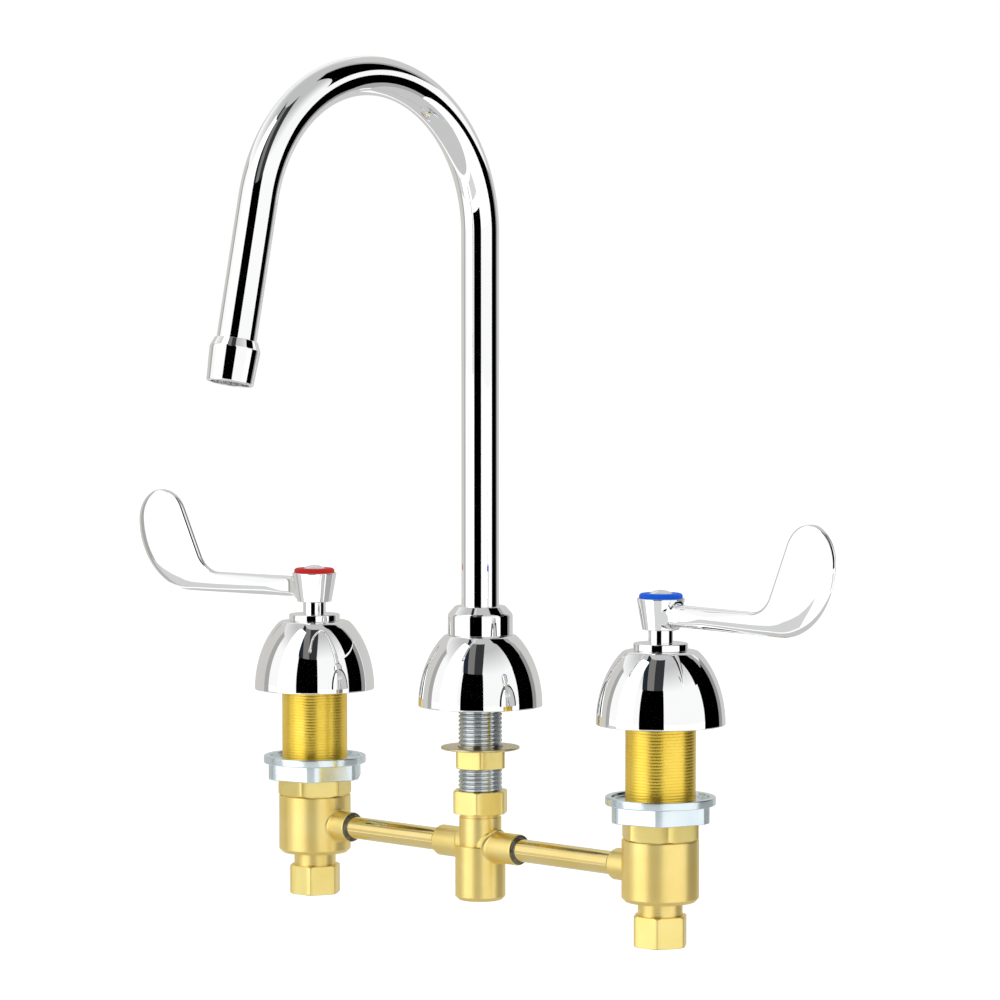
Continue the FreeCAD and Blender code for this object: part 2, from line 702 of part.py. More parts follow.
def handle():
    """Wrist-blade handle pointing along +X: tapered hub, arm that thins from its root, and flat upswept blade."""
    plate = Part.Face(blade_outline()).extrude(Vector(0, blade_thickness, 0))
    plate.translate(Vector(0, -blade_thickness / 2, 0))
    rims = [e for e in plate.Edges if e.BoundBox.YLength < 0.01 and e.BoundBox.XMax > 0.1]
    plate = plate.makeFillet(blade_edge_round, rims)
    middle = arm_bottom + arm_height / 2
    start = rounded_rectangle(hub_bottom_radius / 2, root_thickness, root_height, middle, root_corner)
    finish = rounded_rectangle(root_length, blade_thickness, arm_height, middle, blade_edge_round)
    root = Part.makeLoft([start, finish], True)
    hub = turned([(0, stem_shoulder), (hub_bottom_radius - edge_break, stem_shoulder),
                  (hub_bottom_radius, stem_shoulder + edge_break), (hub_top_radius, hub_top - hub_round),
                  (hub_top_radius - hub_round, hub_top), (0, hub_top)])
    solid = hub.fuse(root).fuse(plate)
    solid = solid.cut(rod(index_ring_radius + push_fit, ring_floor, hub_top + past))
    solid = solid.cut(rod(screw_head_radius + cap_recess, web_top, ring_floor + past))
    solid = solid.cut(rod(screw_radius + screw_hole_room, stem_shoulder, web_top + past))
    broach = square_bar(stem_square + 2 * push_fit, stem_shoulder - past, web_top - hub_web)
    return solid.cut(broach).removeSplitter()


def handle_screw():
    """Socket screw that holds the handle down on the stem."""
    head = rod(screw_head_radius, web_top, web_top + screw_head_height)
    shank = rod(screw_radius, web_top - screw_length, web_top + screw_head_height)
    socket = hexagon(2 * screw_socket, web_top + screw_socket_floor, web_top + screw_head_height + past, 0)
    return head.fuse(shank).cut(socket).removeSplitter()


def index_ring():
    """Coloured ring let into the hub's top."""
    top = ring_floor + index_ring_height
    return turned([(index_ring_bore, ring_floor), (index_ring_radius, ring_floor),
                   (index_ring_radius, top - index_ring_bevel), (index_ring_radius - index_ring_bevel, top),
                   (index_ring_bore, top)])


def index_cap():
    """Chromed button in the middle of the ring, with a plug that holds it in the hub."""
    top = ring_floor + index_ring_height
    plug = rod(screw_head_radius + cap_recess - slide_fit, ring_floor - cap_plug_height, top)
    sphere_radius = (cap_radius ** 2 + cap_crown ** 2) / (2 * cap_crown)
    crown = Part.makeSphere(sphere_radius, Vector(0, 0, top + cap_crown - sphere_radius))
    head = rod(cap_radius, ring_floor, top + cap_crown).common(crown)
    return plug.fuse(head).removeSplitter()


def aerator_frame(shape):
    """Stands a shape made along +Z from the origin on the spout's outlet, along the way that the water leaves."""
    outlet, way = spout_outlet()
    shape.rotate(Vector(0, 0, 0), Vector(1, 0, 0), 180 - spout_lean)
    shape.translate(outlet)
    return shape


def aerator_stack():
    """Depths below the aerator's top: where the seal, the insert and the screen begin, and where the screen ends."""
    insert = aerator_overlap + aerator_seal_height
    screen = insert + aerator_insert_height
    return aerator_overlap, insert, screen, screen + aerator_screen_height


def aerator_housing():
    """Chromed shell screwed on the end of the tube, with a cone on top and a lip that holds the insert."""
    seal, stack_end = aerator_stack()[0], aerator_stack()[3]
    inside = aerator_radius - aerator_wall
    bore = spout_tube_radius + thread_fit
    shell = turned([(bore, 0), (aerator_neck_radius, 0), (aerator_radius, aerator_neck),
                    (aerator_end_radius, aerator_length - aerator_edge),
                    (aerator_end_radius - aerator_edge, aerator_length), (inside - aerator_lip, aerator_length),
                    (inside - aerator_lip, stack_end), (inside, stack_end), (inside, seal), (bore, seal)])
    return aerator_frame(shell)


def aerator_seal():
    top, bottom = aerator_stack()[:2]
    outside = aerator_radius - aerator_wall - push_fit
    return aerator_frame(ring(outside, spout_tube_radius - spout_tube_wall, top, bottom))


def aerator_insert():
    """Plastic flow insert: a cup with a ring of holes in its floor."""
    top, bottom = aerator_stack()[1:3]
    outside = aerator_radius - aerator_wall - push_fit
    body = rod(outside, top, bottom).cut(rod(outside - aerator_cup_wall, top - past, bottom - aerator_cup_floor))
    hole_circle = outside / 2
    for i in range(aerator_cup_holes):
        angle = 2 * math.pi * i / aerator_cup_holes
        place = Vector(hole_circle * math.cos(angle), hole_circle * math.sin(angle), top)
        body = body.cut(Part.makeCylinder(2 * aerator_hole_radius, aerator_insert_height + past, place))
    return aerator_frame(body)


def aerator_screen():
    """Perforated disc at the outlet."""
    top, bottom = aerator_stack()[2:]
    outside = aerator_radius - aerator_wall - push_fit
    disc = rod(outside, top, bottom)
    reach = outside - aerator_lip - aerator_hole_radius
    rows = int(reach / aerator_hole_spacing)
    holes = []
    for row in range(1, rows + 1):
        count = 6 * row
        for i in range(count):
            angle = 2 * math.pi * i / count
            radius = row * aerator_hole_spacing
            place = Vector(radius * math.cos(angle), radius * math.sin(angle), top - past)
            holes.append(Part.makeCylinder(aerator_hole_radius, aerator_screen_height + 2 * past, place))
    return aerator_frame(disc.cut(Part.makeCompound(holes)))


def valve_controls():
    """The pieces that turn with each handle, placed at the handle's closed position."""
    pieces = {"handle": handle(), "handle_screw": handle_screw(), "index_ring": index_ring(),
              "index_cap": index_cap(), "stem": stem(), "stem_seals": stem_seals(), "moving_disc": moving_disc()}
    for name, piece in pieces.items():
        for side, x, turn in (("hot", hot_x, 180 + handle_rest_turn), ("cold", cold_x, -handle_rest_turn)):
            placed = piece.copy()
            placed.rotate(Vector(0, 0, 0), Vector(0, 0, 1), turn)
            placed.translate(Vector(x, 0, 0))
            write(side + "_" + name, placed)


def main():
    os.makedirs("parts", exist_ok=True)
    valve_dome = dome(neck_radius + hole_room)
    for side, turn in sleeve_hex_turns.items():
        write(side + "_sleeve", at_valves(valve_sleeve(turn))[side])
    for name, shape in (("escutcheon", valve_dome), ("valve_body", valve_body()), ("flange_nut", flange_nut()),
                        ("inlet_nut", inlet_nut()), ("ferrule", ferrule()),
                        ("cartridge_housing", cartridge_housing()), ("cartridge_seal", cartridge_seal()),
                        ("fixed_disc", fixed_disc()), ("seat_seal", seat_seal()), ("collar", collar())):
        write_pair(name, shape)
    valve_controls()
    for name, shape in (("spout_tube", spout_tube()), ("spout_bushing", spout_bushing()),
                        ("spout_seals", spout_seals()), ("spout_thrust_ring", thrust_ring()),
                        ("spout_nut", spout_nut()), ("spout_escutcheon", dome(spout_head_radius + hole_room)),
                        ("spout_shank", spout_shank()), ("shank_washer", shank_washer()),
                        ("shank_locknut", shank_locknut()), ("coupling_nut", coupling_nut()),
                        ("tee_gasket", tee_gasket()), ("tee_body", tee_body()), ("hot_link_tube", link_tube(-1)),
                        ("cold_link_tube", link_tube(1)), ("solder_rings", solder_rings()),
                        ("aerator_housing", aerator_housing()), ("aerator_seal", aerator_seal()),
                        ("aerator_insert", aerator_insert()), ("aerator_screen", aerator_screen())):
        write(name, shape)


main()
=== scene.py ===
"""Dresses the widespread basin faucet in chrome, brass, zinc and enamel, in a pale studio.

Sizes are in millimetres and angles in degrees. Z is up, the hot valve stands at -X, the cold valve at +X, and
the spout reaches towards -Y. Each piece takes its place from the node that it stands for.
"""
import logging
import math
from collections.abc import Callable
from dataclasses import dataclass
from enum import Enum

import bmesh
import bpy
from mathutils import Matrix, Vector


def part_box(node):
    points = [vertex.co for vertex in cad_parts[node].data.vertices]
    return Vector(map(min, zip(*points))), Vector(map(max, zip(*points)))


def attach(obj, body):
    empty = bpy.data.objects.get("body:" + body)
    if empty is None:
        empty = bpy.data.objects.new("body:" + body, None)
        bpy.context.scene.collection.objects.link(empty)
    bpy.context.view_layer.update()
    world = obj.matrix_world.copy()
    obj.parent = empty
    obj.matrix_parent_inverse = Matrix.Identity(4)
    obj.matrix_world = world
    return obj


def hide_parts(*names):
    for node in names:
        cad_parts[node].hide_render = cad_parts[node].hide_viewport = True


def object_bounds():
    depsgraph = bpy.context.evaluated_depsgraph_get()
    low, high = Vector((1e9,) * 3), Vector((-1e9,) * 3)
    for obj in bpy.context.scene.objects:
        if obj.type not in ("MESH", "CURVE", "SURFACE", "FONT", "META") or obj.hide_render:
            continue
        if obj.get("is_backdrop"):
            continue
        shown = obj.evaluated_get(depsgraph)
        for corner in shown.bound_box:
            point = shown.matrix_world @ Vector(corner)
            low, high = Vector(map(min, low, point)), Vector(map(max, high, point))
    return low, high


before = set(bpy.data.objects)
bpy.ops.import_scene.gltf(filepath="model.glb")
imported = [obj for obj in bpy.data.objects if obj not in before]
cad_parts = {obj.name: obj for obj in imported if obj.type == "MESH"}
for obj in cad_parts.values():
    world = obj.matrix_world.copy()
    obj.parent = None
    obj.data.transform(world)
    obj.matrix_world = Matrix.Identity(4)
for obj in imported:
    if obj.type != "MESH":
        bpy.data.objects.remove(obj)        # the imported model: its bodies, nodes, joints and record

log = logging.getLogger("faucet")

MM = 0.001
FULL_TURN = 2 * math.pi
ROUND_SEGMENTS = 128         # sides of the large turned pieces
SMALL_SEGMENTS = 72          # sides of rings, tubes and threads
FILLET_STEPS = 5             # edges that a rounded corner is drawn with
SIDE_STEPS = 16              # edges that each side of a hexagon is drawn with
SHARP_ANGLE = 32.0           # edges that turn more than this stay crisp
TINY = 1e-6                  # lengths below this count as nothing
WELD = 1e-4                  # points closer than this become one
AT_SPOUT = Matrix.Identity(4)    # frame on the spout's axis, at height 0

THREAD_FIT = 0.06            # radial room between a nut and its thread
HEX_SIDES = 6
HEX_BLUNT = 0.35             # how far a hexagon's corners are turned off
HEX_REACH = 0.6              # how far a nut's turned face reaches past its flats
HEX_SOFTEN = 0.14            # how far a nut's edges are broken
HEX_FACE_ROOM = 0.08         # how far the turned face stops short of the slope round it
HEX_CRISPNESS = 60           # how sharply a hexagon's sides meet its turned corners

Spot = tuple[float, float]
Rule = Callable[[float], Spot]
Stop = Spot | Rule
Corner = tuple[float, float, float]
Colour = tuple[float, float, float]


class Body(Enum):
    """The bodies that pieces ride on."""

    BASE = "faucet_base"
    HOT = "hot_control"
    COLD = "cold_control"
    SPOUT = "spout"


class Side(Enum):
    """The two valves, by the start of their nodes' names."""

    HOT = "hot"
    COLD = "cold"

    @property
    def body(self) -> Body:
        """The body that turns with this side's handle."""
        return Body.HOT if self is Side.HOT else Body.COLD

    @property
    def outward(self) -> float:
        """Sign of X from the spout to this valve."""
        return -1.0 if self is Side.HOT else 1.0

    @property
    def hexagon_turn(self) -> float:
        """Degrees from +X to a corner of the sleeve's hexagon, as it was screwed home."""
        return -5.0 if self is Side.HOT else 23.8


class Grain(Enum):
    """What the fine marks on a surface look like."""

    SPECKLE = "speckle"      # as left by blasting or casting
    TURNED = "turned"        # fine lines round an upright axis
    DRAWN = "drawn"          # fine lines along X
    CLOUD = "cloud"          # soft, broad unevenness of polish or moulding


def srgb(red: int, green: int, blue: int) -> Colour:
    """Linear colour of an 8-bit screen colour.

    Args:
        red, green, blue: the screen values, 0 to 255.

    Returns:
        The three linear parts, 0 to 1.
    """
    def linear(value: int) -> float:
        """Linear part of one screen value."""
        share = value / 255
        return share / 12.92 if share <= 0.04045 else ((share + 0.055) / 1.055) ** 2.4

    return linear(red), linear(green), linear(blue)


@dataclass(frozen=True)
class Finish:
    """A surface finish, as a node material with its own colour variation, roughness and bump."""

    name: str
    colour: Colour
    shade: Colour            # what the colour drifts to in stains
    metallic: float
    roughness: float
    roughness_swing: float
    grain: Grain
    grain_size: float        # mm from one mark to the next
    bump: float              # mm that the marks stand proud
    stain_size: float = 14.0
    shine: float = 0.5       # specular level
    edge_wear: float = 0.0   # how much lighter worn edges are
    brushed: float = 0.0     # how much more the reflections spread up and down than sideways

    ALONG_LINES = 0.02       # scale of turned and drawn marks along their lines, to that across them
    UPRIGHT = 0.25           # turn of the brushed spread, as a share of a full turn
    NOISE_LOW, NOISE_HIGH = 0.3, 0.7     # what a noise texture's values mostly lie between
    STAIN_DETAIL, MARK_DETAIL = 3.0, 2.0
    WORN_FROM, WORN_FULL = 0.52, 0.62    # pointiness at which wear on an edge starts, and is full
    WORN_GAIN = 1.25         # how much lighter the colour is there

    def stretch(self) -> Colour:
        """How the grain is squeezed along each axis, so that it lies in lines.

        Returns:
            The scale of the marks along X, Y and Z.
        """
        squeeze = 1.0 / self.grain_size / MM
        along = squeeze * self.ALONG_LINES
        if self.grain is Grain.TURNED:
            return along, along, squeeze
        if self.grain is Grain.DRAWN:
            return along, squeeze, squeeze
        return squeeze, squeeze, squeeze

    def material(self) -> bpy.types.Material:
        """The node material, made once and then shared.

        Returns:
            The material.
        """
        name = self.name + "_surface"
        known = bpy.data.materials.get(name)
        if known:
            return known
        made = bpy.data.materials.new(name)
        made.use_nodes = True
        nodes, links = made.node_tree.nodes, made.node_tree.links
        shader = nodes["Principled BSDF"]
        shader.inputs["Metallic"].default_value = self.metallic
        shader.inputs["Specular IOR Level"].default_value = self.shine
        if self.brushed:
            shader.inputs["Anisotropic"].default_value = self.brushed
            shader.inputs["Anisotropic Rotation"].default_value = self.UPRIGHT
            way_round = nodes.new("ShaderNodeTangent")
            way_round.direction_type, way_round.axis = "RADIAL", "Z"
            links.new(way_round.outputs["Tangent"], shader.inputs["Tangent"])
        place = nodes.new("ShaderNodeTexCoord")

        def noise(scale: Colour, detail: float) -> bpy.types.Node:
            """Noise over the object's own space.

            Args:
                scale: how fine it is along X, Y and Z.
                detail: how many finer layers it has.

            Returns:
                The texture node.
            """
            mapping = nodes.new("ShaderNodeMapping")
            mapping.inputs["Scale"].default_value = scale
            links.new(place.outputs["Object"], mapping.inputs["Vector"])
            texture = nodes.new("ShaderNodeTexNoise")
            texture.inputs["Scale"].default_value = 1.0
            texture.inputs["Detail"].default_value = detail
            links.new(mapping.outputs["Vector"], texture.inputs["Vector"])
            return texture

        def spread(texture: bpy.types.Node, low: float, high: float) -> bpy.types.Node:
            """Lays a noise out between two values.

            Args:
                texture: the noise.
                low, high: the values at its low and its high end.

            Returns:
                The node that gives the value.
            """
            span = nodes.new("ShaderNodeMapRange")
            span.inputs["From Min"].default_value = self.NOISE_LOW
            span.inputs["From Max"].default_value = self.NOISE_HIGH
            span.inputs["To Min"].default_value = low
            span.inputs["To Max"].default_value = high
            links.new(texture.outputs["Fac"], span.inputs["Value"])
            return span

        stain = noise((1.0 / self.stain_size / MM,) * 3, self.STAIN_DETAIL)
        marks = noise(self.stretch(), self.MARK_DETAIL)
        drift = spread(stain, 0.0, 1.0)
        mixed = nodes.new("ShaderNodeMix")
        mixed.data_type = "RGBA"
        mixed.inputs["A"].default_value = (*self.colour, 1.0)
        mixed.inputs["B"].default_value = (*self.shade, 1.0)
        links.new(drift.outputs["Result"], mixed.inputs["Factor"])
        tint = mixed
        if self.edge_wear:
            tint = self.worn_edges(nodes, links, mixed)
        links.new(tint.outputs["Result"], shader.inputs["Base Color"])
        rough = spread(marks, self.roughness - self.roughness_swing, self.roughness + self.roughness_swing)
        links.new(rough.outputs["Result"], shader.inputs["Roughness"])
        bump = nodes.new("ShaderNodeBump")
        bump.inputs["Strength"].default_value = 1.0
        bump.inputs["Distance"].default_value = self.bump * MM
        links.new(marks.outputs["Fac"], bump.inputs["Height"])
        links.new(bump.outputs["Normal"], shader.inputs["Normal"])
        return made

    def worn_edges(self, nodes: bpy.types.Nodes, links: bpy.types.NodeLinks,
                   mixed: bpy.types.Node) -> bpy.types.Node:
        """Lightens the colour where the surface turns over an edge.

        Args:
            nodes: the material's nodes.
            links: the material's links.
            mixed: the node that gives the colour so far.

        Returns:
            The node that gives the lightened colour.
        """
        shape = nodes.new("ShaderNodeNewGeometry")
        edge = nodes.new("ShaderNodeMapRange")
        edge.inputs["From Min"].default_value = self.WORN_FROM
        edge.inputs["From Max"].default_value = self.WORN_FULL
        edge.inputs["To Max"].default_value = self.edge_wear
        links.new(shape.outputs["Pointiness"], edge.inputs["Value"])
        lighter = nodes.new("ShaderNodeMix")
        lighter.data_type = "RGBA"
        lighter.inputs["B"].default_value = (*(min(1.0, part * self.WORN_GAIN) for part in self.colour), 1.0)
        links.new(edge.outputs["Result"], lighter.inputs["Factor"])
        links.new(mixed.outputs["Result"], lighter.inputs["A"])
        return lighter


CHROME = Finish("polished_chrome", (0.965, 0.968, 0.972), (0.93, 0.934, 0.94), 1.0, 0.024, 0.008,
                Grain.CLOUD, 24.0, 0.001, stain_size=30.0)
SATIN_BRASS = Finish("satin_cast_brass", srgb(255, 232, 152), srgb(252, 224, 136), 1.0, 0.36, 0.05,
                     Grain.SPECKLE, 0.6, 0.006, edge_wear=0.4, brushed=0.4)
TURNED_BRASS = Finish("turned_brass", srgb(255, 222, 96), srgb(250, 212, 78), 1.0, 0.34, 0.04,
                      Grain.TURNED, 0.45, 0.004, brushed=0.4)
DRAWN_BRASS = Finish("drawn_brass", srgb(255, 232, 160), srgb(250, 224, 142), 1.0, 0.13, 0.04,
                     Grain.DRAWN, 0.6, 0.004)
THIN_BRASS = Finish("stamped_brass", srgb(222, 209, 166), srgb(206, 190, 142), 1.0, 0.3, 0.06,
                    Grain.SPECKLE, 0.9, 0.008, edge_wear=0.3)
BRIGHT_ZINC = Finish("bright_zinc", srgb(234, 243, 246), srgb(216, 230, 236), 1.0, 0.2, 0.05,
                     Grain.SPECKLE, 0.7, 0.008, edge_wear=0.3)
GREY_ZINC = Finish("grey_zinc", srgb(206, 211, 212), srgb(176, 182, 183), 1.0, 0.16, 0.06,
                   Grain.SPECKLE, 0.6, 0.008)
STAINLESS = Finish("plain_stainless", srgb(200, 200, 202), srgb(178, 178, 182), 1.0, 0.3, 0.06,
                   Grain.DRAWN, 0.4, 0.006)
CERAMIC = Finish("white_ceramic", srgb(244, 243, 238), srgb(232, 230, 222), 0.0, 0.12, 0.04,
                 Grain.CLOUD, 6.0, 0.002)
RUBBER = Finish("black_rubber", srgb(28, 28, 29), srgb(18, 18, 19), 0.0, 0.55, 0.1, Grain.SPECKLE, 0.4, 0.02)
ACETAL = Finish("white_acetal", srgb(236, 236, 230), srgb(222, 222, 214), 0.0, 0.4, 0.06,
                Grain.SPECKLE, 0.8, 0.01)
RED = Finish("red_enamel", srgb(226, 52, 44), srgb(210, 38, 34), 0.0, 0.5, 0.05, Grain.CLOUD, 2.0, 0.008,
             shine=0.12)
BLUE = Finish("blue_enamel", srgb(0, 108, 246), srgb(0, 94, 232), 0.0, 0.5, 0.05, Grain.CLOUD, 2.0, 0.008,
              shine=0.12)
SOLDER = Finish("dark_solder", srgb(150, 144, 124), srgb(70, 66, 54), 1.0, 0.45, 0.12,
                Grain.SPECKLE, 1.1, 0.12, stain_size=2.5)

# Finishes of the nodes that keep their own shape, by the node's name without its side
NODE_FINISHES = {
    "stem": CHROME, "cartridge_housing": TURNED_BRASS, "ferrule": TURNED_BRASS, "fixed_disc": CERAMIC,
    "moving_disc": CERAMIC, "cartridge_seal": RUBBER, "seat_seal": RUBBER, "stem_seals": RUBBER,
    "handle_screw": STAINLESS, "spout_bushing": TURNED_BRASS, "spout_seals": RUBBER,
    "spout_thrust_ring": ACETAL, "tee_gasket": RUBBER, "aerator_seal": RUBBER, "aerator_insert": ACETAL,
    "aerator_screen": STAINLESS,
}


@dataclass(frozen=True)
class NodeBox:
    """Box of a node of the frame, in millimetres."""

    low: Vector
    high: Vector

    @classmethod
    def of(cls, node: str) -> "NodeBox":
        """The box of a node, by the node's name."""
        low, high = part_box(node)
        return cls(Vector(low) / MM, Vector(high) / MM)

    @property
    def axis(self) -> Vector:
        """Point on the upright axis through the box, at height 0."""
        middle = (self.low + self.high) / 2
        return Vector((middle.x, 0.0, 0.0))

    @property
    def radius(self) -> float:
        """Half of the box's depth, which is a round piece's radius."""
        return (self.high.y - self.low.y) / 2

    @property
    def bottom(self) -> float:
        """Height of the box's underside."""
        return self.low.z

    @property
    def top(self) -> float:
        """Height of the box's top."""
        return self.high.z


def even_angles(count: int) -> list[float]:
    """Angles of a full turn in equal steps."""
    return [FULL_TURN * i / count for i in range(count)]


def corner_angles(sides: int, turn: float, per_side: int = SIDE_STEPS) -> list[float]:
    """Angles of a full turn that crowd together at a polygon's corners.

    Args:
        sides: how many corners the polygon has.
        turn: degrees from +X to its first corner.
        per_side: steps from one corner to the next.

    Returns:
        The angles, in radians, from the first corner on.
    """
    side = FULL_TURN / sides
    angles = []
    for corner in range(sides):
        for step in range(per_side):
            share = (1 - math.cos(math.pi * step / per_side)) / 2
            angles.append(math.radians(turn) + side * (corner + share))
    return angles


def hexagon_radius(angle: float, flats: float, turn: float) -> float:
    """Distance from a hexagon's middle to its edge.

    Args:
        angle: direction, in radians.
        flats: distance across flats.
        turn: degrees from +X to one of its corners.

    Returns:
        The distance in that direction.
    """
    side = FULL_TURN / HEX_SIDES
    from_flat = (angle - math.radians(turn)) % side - side / 2
    return flats / 2 / math.cos(from_flat)


def lesser(one: float, other: float, crispness: int) -> float:
    """The smaller of two radii, with the corner where they cross a little rounded."""
    return (one ** -crispness + other ** -crispness) ** (-1 / crispness)


def rounded(corners: list[Corner], looped: bool = True) -> list[Spot]:
    """Outline of a turned piece with its corners rounded.

    Args:
        corners: radius, height and rounding of each corner, in order.
        looped: whether the last corner joins the first.

    Returns:
        The outline's points.
    """
    points: list[Spot] = []
    count = len(corners)
    longest = 0.48           # share of a side that a rounding may take up
    for i, (radius, height, rounding) in enumerate(corners):
        here = Vector((radius, height))
        if rounding <= 0 or (not looped and i in (0, count - 1)):
            points.append((radius, height))
            continue
        before = Vector(corners[i - 1][:2]) - here
        after = Vector(corners[(i + 1) % count][:2]) - here
        half = before.angle(after) / 2
        tangent = min(rounding / math.tan(half), longest * before.length, longest * after.length)
        size = tangent * math.tan(half)
        before.normalize()
        after.normalize()
        centre = here + (before + after).normalized() * (size / math.sin(half))
        first = here + before * tangent - centre
        last = here + after * tangent - centre
        for step in range(FILLET_STEPS + 1):
            way = first.slerp(last, step / FILLET_STEPS) * size
            points.append((centre.x + way.x, centre.y + way.y))
    return points


def along_x(start: Vector, sign: float) -> Matrix:
    """Frame that lays an upright piece along X.

    Args:
        start: where the piece's own origin goes.
        sign: +1 for towards +X, -1 for towards -X.

    Returns:
        The matrix.
    """
    return Matrix.Translation(start) @ Matrix.Rotation(sign * math.pi / 2, 4, "Y")


class Shell:
    """Gathers the closed skins of one piece, in millimetres, and makes its object."""

    def __init__(self, name: str) -> None:
        """Starts an empty piece of that name."""
        self.name = name
        self.work = bmesh.new()

    @classmethod
    def ring_of(cls, name: str, corners: list[Corner], segments: int, place: Matrix = AT_SPOUT) -> "Shell":
        """Starts a piece with a closed outline turned about Z.

        Args:
            name: the piece's name.
            corners: radius, height and rounding of each corner of the outline.
            segments: how many sides it has.
            place: where its own frame goes.

        Returns:
            The piece's shell.
        """
        shell = cls(name)
        shell.turned(rounded(corners), even_angles(segments), place)
        return shell

    def rings(self, rings: list[list[Vector]], looped: bool = False) -> None:
        """Adds a skin over rings of points; a ring of one point is a tip.

        Args:
            rings: the rings, all with the same count of points or with one.
            looped: whether the last ring joins the first; otherwise open ends are closed flat.
        """
        made = [[self.work.verts.new(point) for point in ring] for ring in rings]
        following = made[1:] + (made[:1] if looped else [])
        for ring, upper in zip(made, following):
            size = max(len(ring), len(upper))
            for i in range(size):
                j = (i + 1) % size
                corners = [row[k % len(row)] for row, k in ((ring, i), (ring, j), (upper, j), (upper, i))]
                self.work.faces.new(list(dict.fromkeys(corners)))
        if not looped:
            for end in (made[0], made[-1]):
                if len(end) > 2:
                    self.work.faces.new(end)

    def turned(self, stops: list[Stop], angles: list[float], place: Matrix, looped: bool = True) -> None:
        """Adds a skin turned about Z.

        Args:
            stops: the outline, as points of radius and height, or as rules that give them for an angle.
            angles: the directions of the skin's edges.
            place: where the skin's own frame goes.
            looped: whether the outline's end joins its start, as on a ring.
        """
        rings = []
        for stop in stops:
            if not callable(stop) and abs(stop[0]) < TINY:
                rings.append([place @ Vector((0.0, 0.0, stop[1]))])
                continue
            ring = []
            for angle in angles:
                radius, height = stop(angle) if callable(stop) else stop
                ring.append(place @ Vector((radius * math.cos(angle), radius * math.sin(angle), height)))
            rings.append(ring)
        self.rings(rings, looped)

    def threaded(self, thread: "Thread", place: Matrix) -> None:
        """Adds a tube with a true helical thread outside.

        Args:
            thread: the thread's sizes.
            place: where the thread's own frame goes.
        """
        count, rows = SMALL_SEGMENTS, thread.rows()
        grid = []
        for column in range(count):
            turn = column / count
            angle = FULL_TURN * turn
            line = []
            for row in range(rows):
                radius, height = thread.spot(row, turn)
                point = Vector((radius * math.cos(angle), radius * math.sin(angle), height))
                line.append(self.work.verts.new(place @ point))
            grid.append(line)
        for column, line in enumerate(grid):
            upper = grid[(column + 1) % count]
            skip = thread.POINTS_PER_TURN if column == count - 1 else 0
            for row in range(rows - 1 - skip):
                self.work.faces.new((line[row], upper[row + skip], upper[row + skip + 1], line[row + 1]))
        bmesh.ops.remove_doubles(self.work, verts=self.work.verts, dist=WELD)
        self.turned([(thread.core, thread.bottom), (thread.bore, thread.bottom), (thread.bore, thread.top),
                     (thread.core, thread.top)], even_angles(count), place, looped=False)
        bmesh.ops.remove_doubles(self.work, verts=self.work.verts, dist=WELD)
        # Only the flat ends, which the bore goes through, have more than four corners
        ends = [face for face in self.work.faces if len(face.verts) > 4]
        bmesh.ops.delete(self.work, geom=ends, context="FACES_ONLY")

    def object(self, finish: Finish, body: Body, node: str, slot: str = "") -> None:
        """Makes the object, dresses it and ties it to the frame.

        Args:
            finish: its surface finish.
            body: the body that it rides on.
            node: the node that it stands for.
            slot: the record's material slot, where it isn't the one that is named like the finish; not used.
        """
        bmesh.ops.recalc_face_normals(self.work, faces=self.work.faces)
        mesh = bpy.data.meshes.new(self.name)
        self.work.to_mesh(mesh)
        self.work.free()
        mesh.transform(Matrix.Scale(MM, 4))
        mesh.shade_smooth()
        mesh.set_sharp_from_angle(angle=math.radians(SHARP_ANGLE))
        mesh.materials.append(finish.material())
        piece = bpy.data.objects.new(self.name, mesh)
        bpy.context.scene.collection.objects.link(piece)
        weighted = piece.modifiers.new("even_shading", "WEIGHTED_NORMAL")
        weighted.keep_sharp = True
        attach(piece, body.value)
        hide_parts(node)
        log.info("%s: %d faces, stands for %s", self.name, len(mesh.polygons), node)


@dataclass(frozen=True)
class Thread:
    """Sizes of a helical thread on a tube."""

    radius: float
    depth: float
    pitch: float
    bottom: float
    top: float
    bore: float
    crest: float             # share of the pitch that the flat crest takes

    POINTS_PER_TURN = 4      # two on the crest and two at the root
    FLANK = 0.4              # share of the rest of the pitch that each sloping side takes

    @property
    def core(self) -> float:
        """Radius at the thread's root."""
        return self.radius - self.depth

    def rows(self) -> int:
        """How many points an upright line over the thread has."""
        turns = math.ceil((self.top - self.bottom) / self.pitch) + 2
        return turns * self.POINTS_PER_TURN + 1

    def spot(self, row: int, turn: float) -> Spot:
        """Radius and height of one point of the thread.

        Args:
            row: the point's number from the foot.
            turn: how far round it stands, from 0 to 1.

        Returns:
            Its radius and height.
        """
        flank = (1 - self.crest) * self.FLANK
        shares = (0.0, self.crest, self.crest + flank, 1 - flank)
        lap, step = divmod(row, self.POINTS_PER_TURN)
        height = self.bottom + (lap - 1 + shares[step] + turn) * self.pitch
        clear = self.bottom < height < self.top
        radius = self.radius if clear and step < 2 else self.core
        return radius, min(max(height, self.bottom), self.top)


